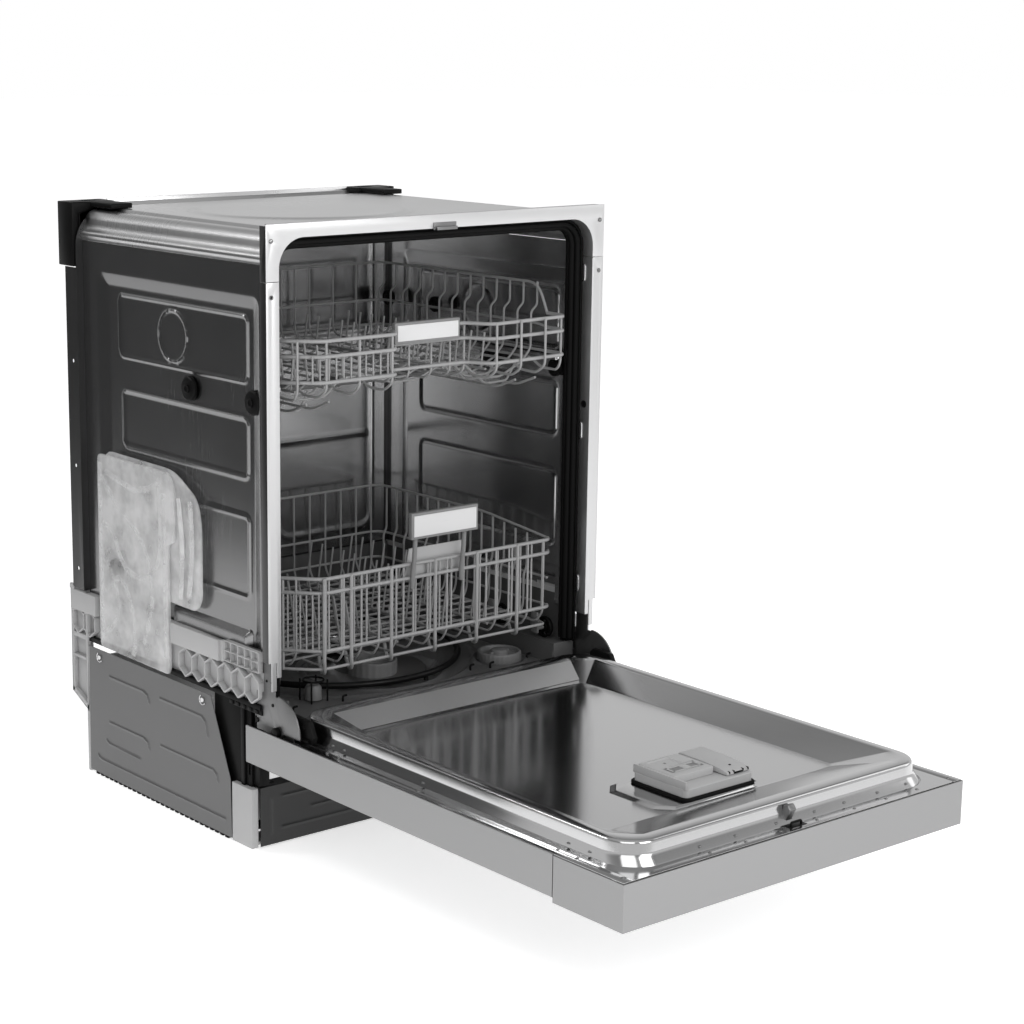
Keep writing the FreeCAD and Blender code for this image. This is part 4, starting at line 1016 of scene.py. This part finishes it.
def lower_cage():
    """Cross wires of the lower basket: each comes down a side, curls under and crosses the floor; short ones fill in."""
    shapes = []
    for y in np.arange(96, 452, 26.5):
        top = 371 + 16 * min(max((y - 112) / 88, 0), 1)
        jog = [(-246, y, top), (-246, y, 318), (-240, y, 308), (-240, y, 262), (-234, y, 246), (234, y, 246),
               (240, y, 262),
               (240, y, 308), (246, y, 318), (246, y, top)]
        shapes.append(wire(jog, 1.8, 7, 7))
    for x in np.arange(-205, 236, 31.0):
        front = 40 if x > -179 else 40 + (-179 - x) * 1.05
        shapes.append(wire([(x, front, 371), (x, front, 262), (x, front + 14, 244), (x, 446, 244),
                            (x, 460, 262), (x, 460, 387)], 1.7, 8, 7))
    for x in np.arange(-168, 236, 22.0):
        shapes.append(wire([(x, 41, 371), (x, 41, 268)], 1.5, sides=6))
    for t in np.linspace(0.12, 0.9, 6):
        x, y = -217 + 38 * t, 82 - 42 * t
        shapes.append(wire([(x, y, 351), (x, y, 268)], 1.4, sides=6))
    for x in (-178, -131, -60, 20, 98, 176):
        shapes.append(wire([(x, 38, 373), (x, 38, 252), (x + 4, 42, 236), (x + 14, 62, 229), (x + 26, 84, 234),
                            (x + 30, 92, 244)], 2.7, 12, 8))
    for x, y in ((-217, 82), (-243, 108)):
        shapes.append(wire([(x, y, 373), (x, y, 240)], 2.2, sides=8))
    return shapes


def comb(x, y0, y1, count, low, high, lean=0.0, radius=1.6):
    """A row of tines on a base wire; each tine is a narrow hairpin that leans to one side."""
    shapes = [wire([(x, y0 - 10, low), (x, y1 + 10, low)], 1.9, sides=7)]
    for y in np.linspace(y0, y1, count):
        shapes.append(wire([(x, y, low), (x + 0.4 * lean, y, low + 0.45 * (high - low)), (x + lean, y, high)],
                           radius, 18, 7))
    return shapes


def wheel_bracket(y):
    """Round axle stub and the moulded clip that holds a lower rack wheel."""
    axle = lathe([(0, 18), (3, 18), (3, 0), (0, 0)], (238, y, WHEEL_Z), "X", 14)
    clip = plate([(y - 7, 222), (y + 7, 222), (y + 9, 240), (y + 6, 254), (y - 6, 254), (y - 9, 240)], 237.5,
                 241.5)
    return [axle, clip]


def wheel_shape(y):
    """Spoked wheel: hub, rim and six spokes."""
    hub = lathe([(3.1, 256.6), (7, 256.6), (7, 263), (3.1, 263), (3.1, 256.6)], (0, y, WHEEL_Z), "X", 24)
    rim = lathe([(12, 257), (15.6, 256.4), (16.4, 258), (16.4, 261.6), (15.6, 263.2), (12, 262.6), (12, 257)],
                (0, y, WHEEL_Z), "X", 36)
    spokes = [plate([(y + 6 * c - 1.5 * s, WHEEL_Z + 6 * s + 1.5 * c), (y + 13 * c - 1.5 * s,
                                                                        WHEEL_Z + 13 * s + 1.5 * c),
                     (y + 13 * c + 1.5 * s, WHEEL_Z + 13 * s - 1.5 * c), (y + 6 * c + 1.5 * s,
                             WHEEL_Z + 6 * s - 1.5 * c)], 258, 261.6)
              for c, s in [(math.cos(a), math.sin(a)) for a in np.arange(6) * np.pi / 3]]
    return [hub, rim, *spokes]


def handle_shapes(x0, x1, y, z0, z1):
    """A flat grip: grey surround with a raised edge round a plain pale plate."""
    return [block(x0, x1, y, y + 8, z0, z1)], [block(x0 + 4, x1 - 4, y - 1.2, y + 0.6, z0 + 4, z1 - 4)]


def build_lower_rack():
    make("lower_basket_wires", lower_rails() + lower_cage(), COATING, "lower_rack", ["lower_basket"])
    fixed = comb(70, 84, 420, 13, 249, 322, 10) + comb(150, 84, 420, 13, 249, 322, 10) + comb(-20, 84, 420, 13,
            249, 300, -8) + comb(-200, 120, 420, 11, 249, 300, -6)
    make("lower_fixed_tines", fixed, COATING, "lower_rack")
    make("lower_folding_tines", comb(-95, 84, 420, 13, 250, 322, -12), COATING, "lower_tines", ["lower_tines"])
    brackets = [shape for y in WHEEL_YS for shape in wheel_bracket(y)]
    make("lower_wheel_clips", pair(brackets), CAP, "lower_rack", edge=0.6)
    for number, y in enumerate(WHEEL_YS, 1):
        name = "lower_wheels_%d" % number
        make(name + "_spoked", pair(wheel_shape(y)), BLACK, name, [name], edge=0.5)
    surround, face = handle_shapes(-36, 86, 23, 410, 448)
    posts = [wire([(x, 30, 412), (x, 31, 384), (x, 35, 360), (x, 36, 336)], 3.6, 10, 10) for x in (-24, 66)]
    web = [plate([(-30, 352), (74, 352), (82, 392), (-22, 392)], 46, 48, "Y")]
    make("lower_handle_surround", surround + posts, FRAME_GREY, "lower_rack", ["lower_handle"],
         edge=1.6)
    make("lower_handle_web", web, DISPENSER, "lower_rack", edge=0.6)
    make("lower_handle_face", face, PALE, "lower_rack", edge=0.5)


def upper_rails():
    """Upper basket's long wires: three rails round its stepped front, and thinner ones round the sides and back."""
    shapes = []
    for z in (707, 686, 651):
        front = [(-246, 60, z), (-244, 44, z), (-203, 7, z), (-78, 7, z), (-57, 46, z), (76, 46, z),
                 (98, 9, z), (238, 17, z), (246, 28, z), (246, 60, z)]
        shapes.append(wire(front, RAIL_R, 10, 10))
    for z, rise in ((651, 0), (686, 4), (750, 0)):
        low = 707 if z == 750 else z
        back = [(-246, 60, low), (-247, 82, z + rise), (-247, 458, z + rise), (247, 458, z + rise),
                (247, 82, z + rise), (246, 60, low)]
        shapes.append(wire(back, WIRE_R, 22, 8))
    return shapes


def upper_cage():
    """Cross wires of the upper basket with a jog half-way up each side; their floors drop in shallow troughs."""
    shapes = []
    for y in np.arange(84, 452, 30.5):
        path = [(-247, y, 751), (-247, y, 716), (-240, y + 5, 708), (-240, y + 5, 652), (-222, y + 5, 634),
                (-182, y + 5, 616),
                (-140, y + 5, 616), (-112, y + 5, 640), (-60, y + 5, 640), (-24, y + 5, 626), (24, y + 5, 626),
                (60, y + 5, 640),
                (112, y + 5, 640), (140, y + 5, 616), (182, y + 5, 616), (222, y + 5, 634), (240, y + 5, 652),
                (240, y + 5, 708),
                (247, y, 716), (247, y, 751)]
        shapes.append(wire(path, 1.7, 8, 7))
    for x in (-236, -196, -140, -84, 104, 150, 196, 236):
        front = 8 if abs(x) < 200 else 19
        shapes.append(wire([(x, front, 708), (x, front, 640), (x, 26, 628), (x, 60, 628), (x, 84, 640),
                            (x, 446, 640), (x, 458, 652), (x, 458, 753)], 1.9, 8, 7))
    for x in (-56, -24, 16, 50, 76):
        shapes.append(wire([(x, 47, 708), (x, 47, 640), (x, 62, 632), (x, 446, 636), (x, 458, 652),
                            (x, 458, 753)], 1.7, 8, 7))
    for x in np.arange(-216, -84, 12.5):
        shapes.append(wire([(x, 9 if x > -200 else 12, 688), (x, 9 if x > -200 else 12, 652)], 1.4, sides=6))
    for y in np.arange(100, 440, 44):
        shapes.append(wire([(-222, y, 634), (-206, y + 4, 602), (-168, y + 8, 598), (-150, y + 14, 622)], 1.7,
                           4, 7))
        shapes.append(wire([(222, y, 634), (206, y + 4, 606), (168, y + 8, 604), (150, y + 14, 622)], 1.7, 4,
                           7))
    for x in (-206, -168, 168, 206):
        shapes.append(wire([(x, 40, 618), (x, 80, 603), (x, 420, 603), (x, 450, 618)], 1.8, 14, 7))
    return shapes


def rack_rail():
    """Channel that runs on the wall rollers: a web with a folded lip above and below, and its end stop."""
    return [block(262.6, 264.4, 42, 456, 639.6, 650), block(247, 264.4, 42, 456, 639.4, 641.2), block(247, 250,
            42, 456, 641, 646),
            block(250, 263, 40, 43, 641, 652)]


def spare_wheel(y, z=693):
    """Wheel for the rack's other height setting, with a scalloped hub."""
    rim = lathe([(8, 254), (11.4, 253.6), (12.4, 255), (12.4, 261), (11.4, 262.4), (8, 262), (8, 254)],
                (0, y, z), "X", 30)
    hub = lathe([(0, 252), (5, 252), (5, 263), (0, 263)], (0, y, z), "X", 24, 0.16, 6)
    web = lathe([(4, 257), (9, 257), (9, 259), (4, 259), (4, 257)], (0, y, z), "X", 24)
    return [rim, hub, web]


def build_upper_rack():
    make("upper_basket_wires", upper_rails() + upper_cage(), COATING, "upper_rack", ["upper_basket"])
    tines = comb(-150, 84, 410, 12, 632, 690, -6) + comb(-112, 84, 410, 12, 642, 676, 0) + comb(60, 84, 410,
            12, 642, 684, 6) + comb(140, 84, 410, 12, 632, 684, 6) + comb(-200, 84, 410, 12, 630, 676, 4)
    make("upper_tines", tines, COATING, "upper_rack")
    make("upper_rack_rails", pair(rack_rail()), ARM_STEEL, "upper_rack", edge=0.4)
    make("upper_spare_wheels", pair(spare_wheel(334) + spare_wheel(452)), BLACK, "upper_rack",
         edge=0.4)
    spindle = [lathe([(0, 600), (7, 600), (7, 618), (12, 621), (12, 626), (0, 626)], (0, ARM_Y, 0)),
               block(-10, 10, 194, 334, 622, 627)]
    make("upper_arm_spindle", spindle, CAP, "upper_rack", edge=1)
    surround, face = handle_shapes(-65, 51, 25.8, 689, 719)
    clips = [block(x - 5, x + 5, 29, 50, 702, 712) for x in (-48, 40)]
    make("upper_handle_surround", surround + clips, FRAME_GREY, "upper_rack", ["upper_handle"],
         edge=1.6)
    make("upper_handle_face", face, PALE, "upper_rack", edge=0.5)
    for name, y in zip(("wall_rollers_front", "wall_rollers_rear"), ROLLER_YS):
        roller = [lathe([(0, 254), (9, 254), (9.5, 256), (13, 256.5), (13, 262), (11, 263), (11, 271),
                         (13, 272), (13, 278.6), (0, 278.6)], (0, y, ROLLER_Z), "X", 30),
                  lathe([(0, 278), (6, 278), (6, 287), (0, 287)], (0, y, ROLLER_Z), "X", 20)]
        make(name + "_turned", pair(roller), BLACK, name, [name])


# ---------------------------------------------------------------- stage

def area_light(name, place, target, size, power):
    """Soft rectangular lamp that faces its target; place, target and size are in metres."""
    data = bpy.data.lights.new(name, "AREA")
    data.shape, data.size, data.size_y, data.energy = "RECTANGLE", size[0], size[1], power
    lamp = bpy.data.objects.new(name, data)
    bpy.context.scene.collection.objects.link(lamp)
    lamp.location = place
    lamp.rotation_euler = (Vector(target) - Vector(place)).to_track_quat("-Z", "Y").to_euler()
    return lamp


def build_stage():
    """Pale floor, soft lights, and a studio surround that is dim at the sides and bright above."""
    bpy.ops.mesh.primitive_plane_add(size=60)
    floor = bpy.context.object
    floor.name = "floor"
    floor.data.materials.append(finish("pale_floor", grey(0.92), 0.8, 0.0, 0.01, 0.02, 1.0, Emission_Color=(1,
            1, 1, 1), Emission_Strength=0.62))
    area_light("key", (-2.2, -2.6, 3.2), (0, -0.2, 0.4), (2.6, 2.6), 34)
    area_light("side", (3.0, -1.6, 2.2), (0, -0.3, 0.3), (1.6, 2.4), 14)
    area_light("left_high", (-1.8, 1.5, 2.5), (-0.3, 0, 0.5), (0.5, 1.4), 22)
    area_light("mouth", (0.2, -2.6, 1.5), (0, 0.1, 0.5), (1.2, 1.2), 16)
    # A dark card beside the left wall, out of every view, for its polished steel to reflect.
    shade = bpy.data.meshes.new("left_shade")
    shade.from_pydata([(-1.0, 0.0, 0.1), (-1.0, 2.8, 0.1), (-1.0, 2.8, 1.2), (-1.0, 0.0, 1.2)], [],
                      [(0, 1, 2, 3)])
    card = bpy.data.objects.new("left_shade", shade)
    bpy.context.scene.collection.objects.link(card)
    card.data.materials.append(finish("dark_card", grey(0.13), 0.8, 0.0, 0.05, 0.02, 1.0,
                                      Specular_IOR_Level=0.0))
    card.visible_camera = False
    world = bpy.data.worlds.new("studio")
    world.use_nodes = True
    nodes, links = world.node_tree.nodes, world.node_tree.links
    ray, place, rise = nodes.new("ShaderNodeLightPath"), nodes.new("ShaderNodeTexCoord"), nodes.new("ShaderNodeSeparateXYZ")
    ramp, seen, mix = nodes.new("ShaderNodeValToRGB"), nodes.new("ShaderNodeBackground"), nodes.new("ShaderNodeMixShader")
    lit = nodes["Background"]
    links.new(place.outputs["Generated"], rise.inputs[0])
    links.new(rise.outputs["Z"], ramp.inputs[0])
    steps = ((0.0, 0.80), (0.3, 0.84), (0.5, 0.42), (0.65, 0.30), (0.82, 0.50), (1.0, 0.66))
    bands = ramp.color_ramp.elements
    for place_on, level in steps[1:-1]:
        bands.new(place_on)
    for band, (place_on, level) in zip(bands, steps):
        band.position, band.color = place_on, (level, level, level, 1)
    links.new(ramp.outputs[0], lit.inputs["Color"])
    seen.inputs["Color"].default_value, seen.inputs["Strength"].default_value = (1, 1, 1, 1), 1.0
    lit.inputs["Strength"].default_value = 0.9
    links.new(ray.outputs["Is Camera Ray"], mix.inputs[0])
    links.new(lit.outputs[0], mix.inputs[1])
    links.new(seen.outputs[0], mix.inputs[2])
    links.new(mix.outputs[0], nodes["World Output"].inputs["Surface"])
    scene = bpy.context.scene
    scene.world = world
    scene.view_settings.view_transform = "Standard"


CAMERA_PLACE = (-1975.6, -2395.4, 1113.7)
CAMERA_YAW, CAMERA_PITCH, CAMERA_ROLL = 37.643, 12.068, -0.128
CAMERA_FOCAL, CAMERA_SHIFT = 2258.9 / 1024, 0.1387   # both as shares of the frame width


def build_camera():
    data = bpy.data.cameras.new("camera")
    camera = bpy.data.objects.new("camera", data)
    bpy.context.scene.collection.objects.link(camera)
    yaw, pitch, roll = (math.radians(angle) for angle in (CAMERA_YAW, CAMERA_PITCH, CAMERA_ROLL))
    ahead = Vector((math.sin(yaw) * math.cos(pitch), math.cos(yaw) * math.cos(pitch), -math.sin(pitch)))
    level = ahead.to_track_quat("-Z", "Y").to_matrix().to_4x4()
    camera.matrix_world = Matrix.Translation(metres(CAMERA_PLACE)) @ level @ Matrix.Rotation(-roll, 4, "Z")
    data.sensor_width = 36
    data.lens = 36 * CAMERA_FOCAL
    data.shift_x = CAMERA_SHIFT
    data.clip_start, data.clip_end = 0.05, 50
    bpy.context.scene.camera = camera


build_camera()
build_tub()
build_base()
build_basin()
build_arms()
build_tank()
build_door()
build_lower_rack()
build_upper_rack()
build_stage()
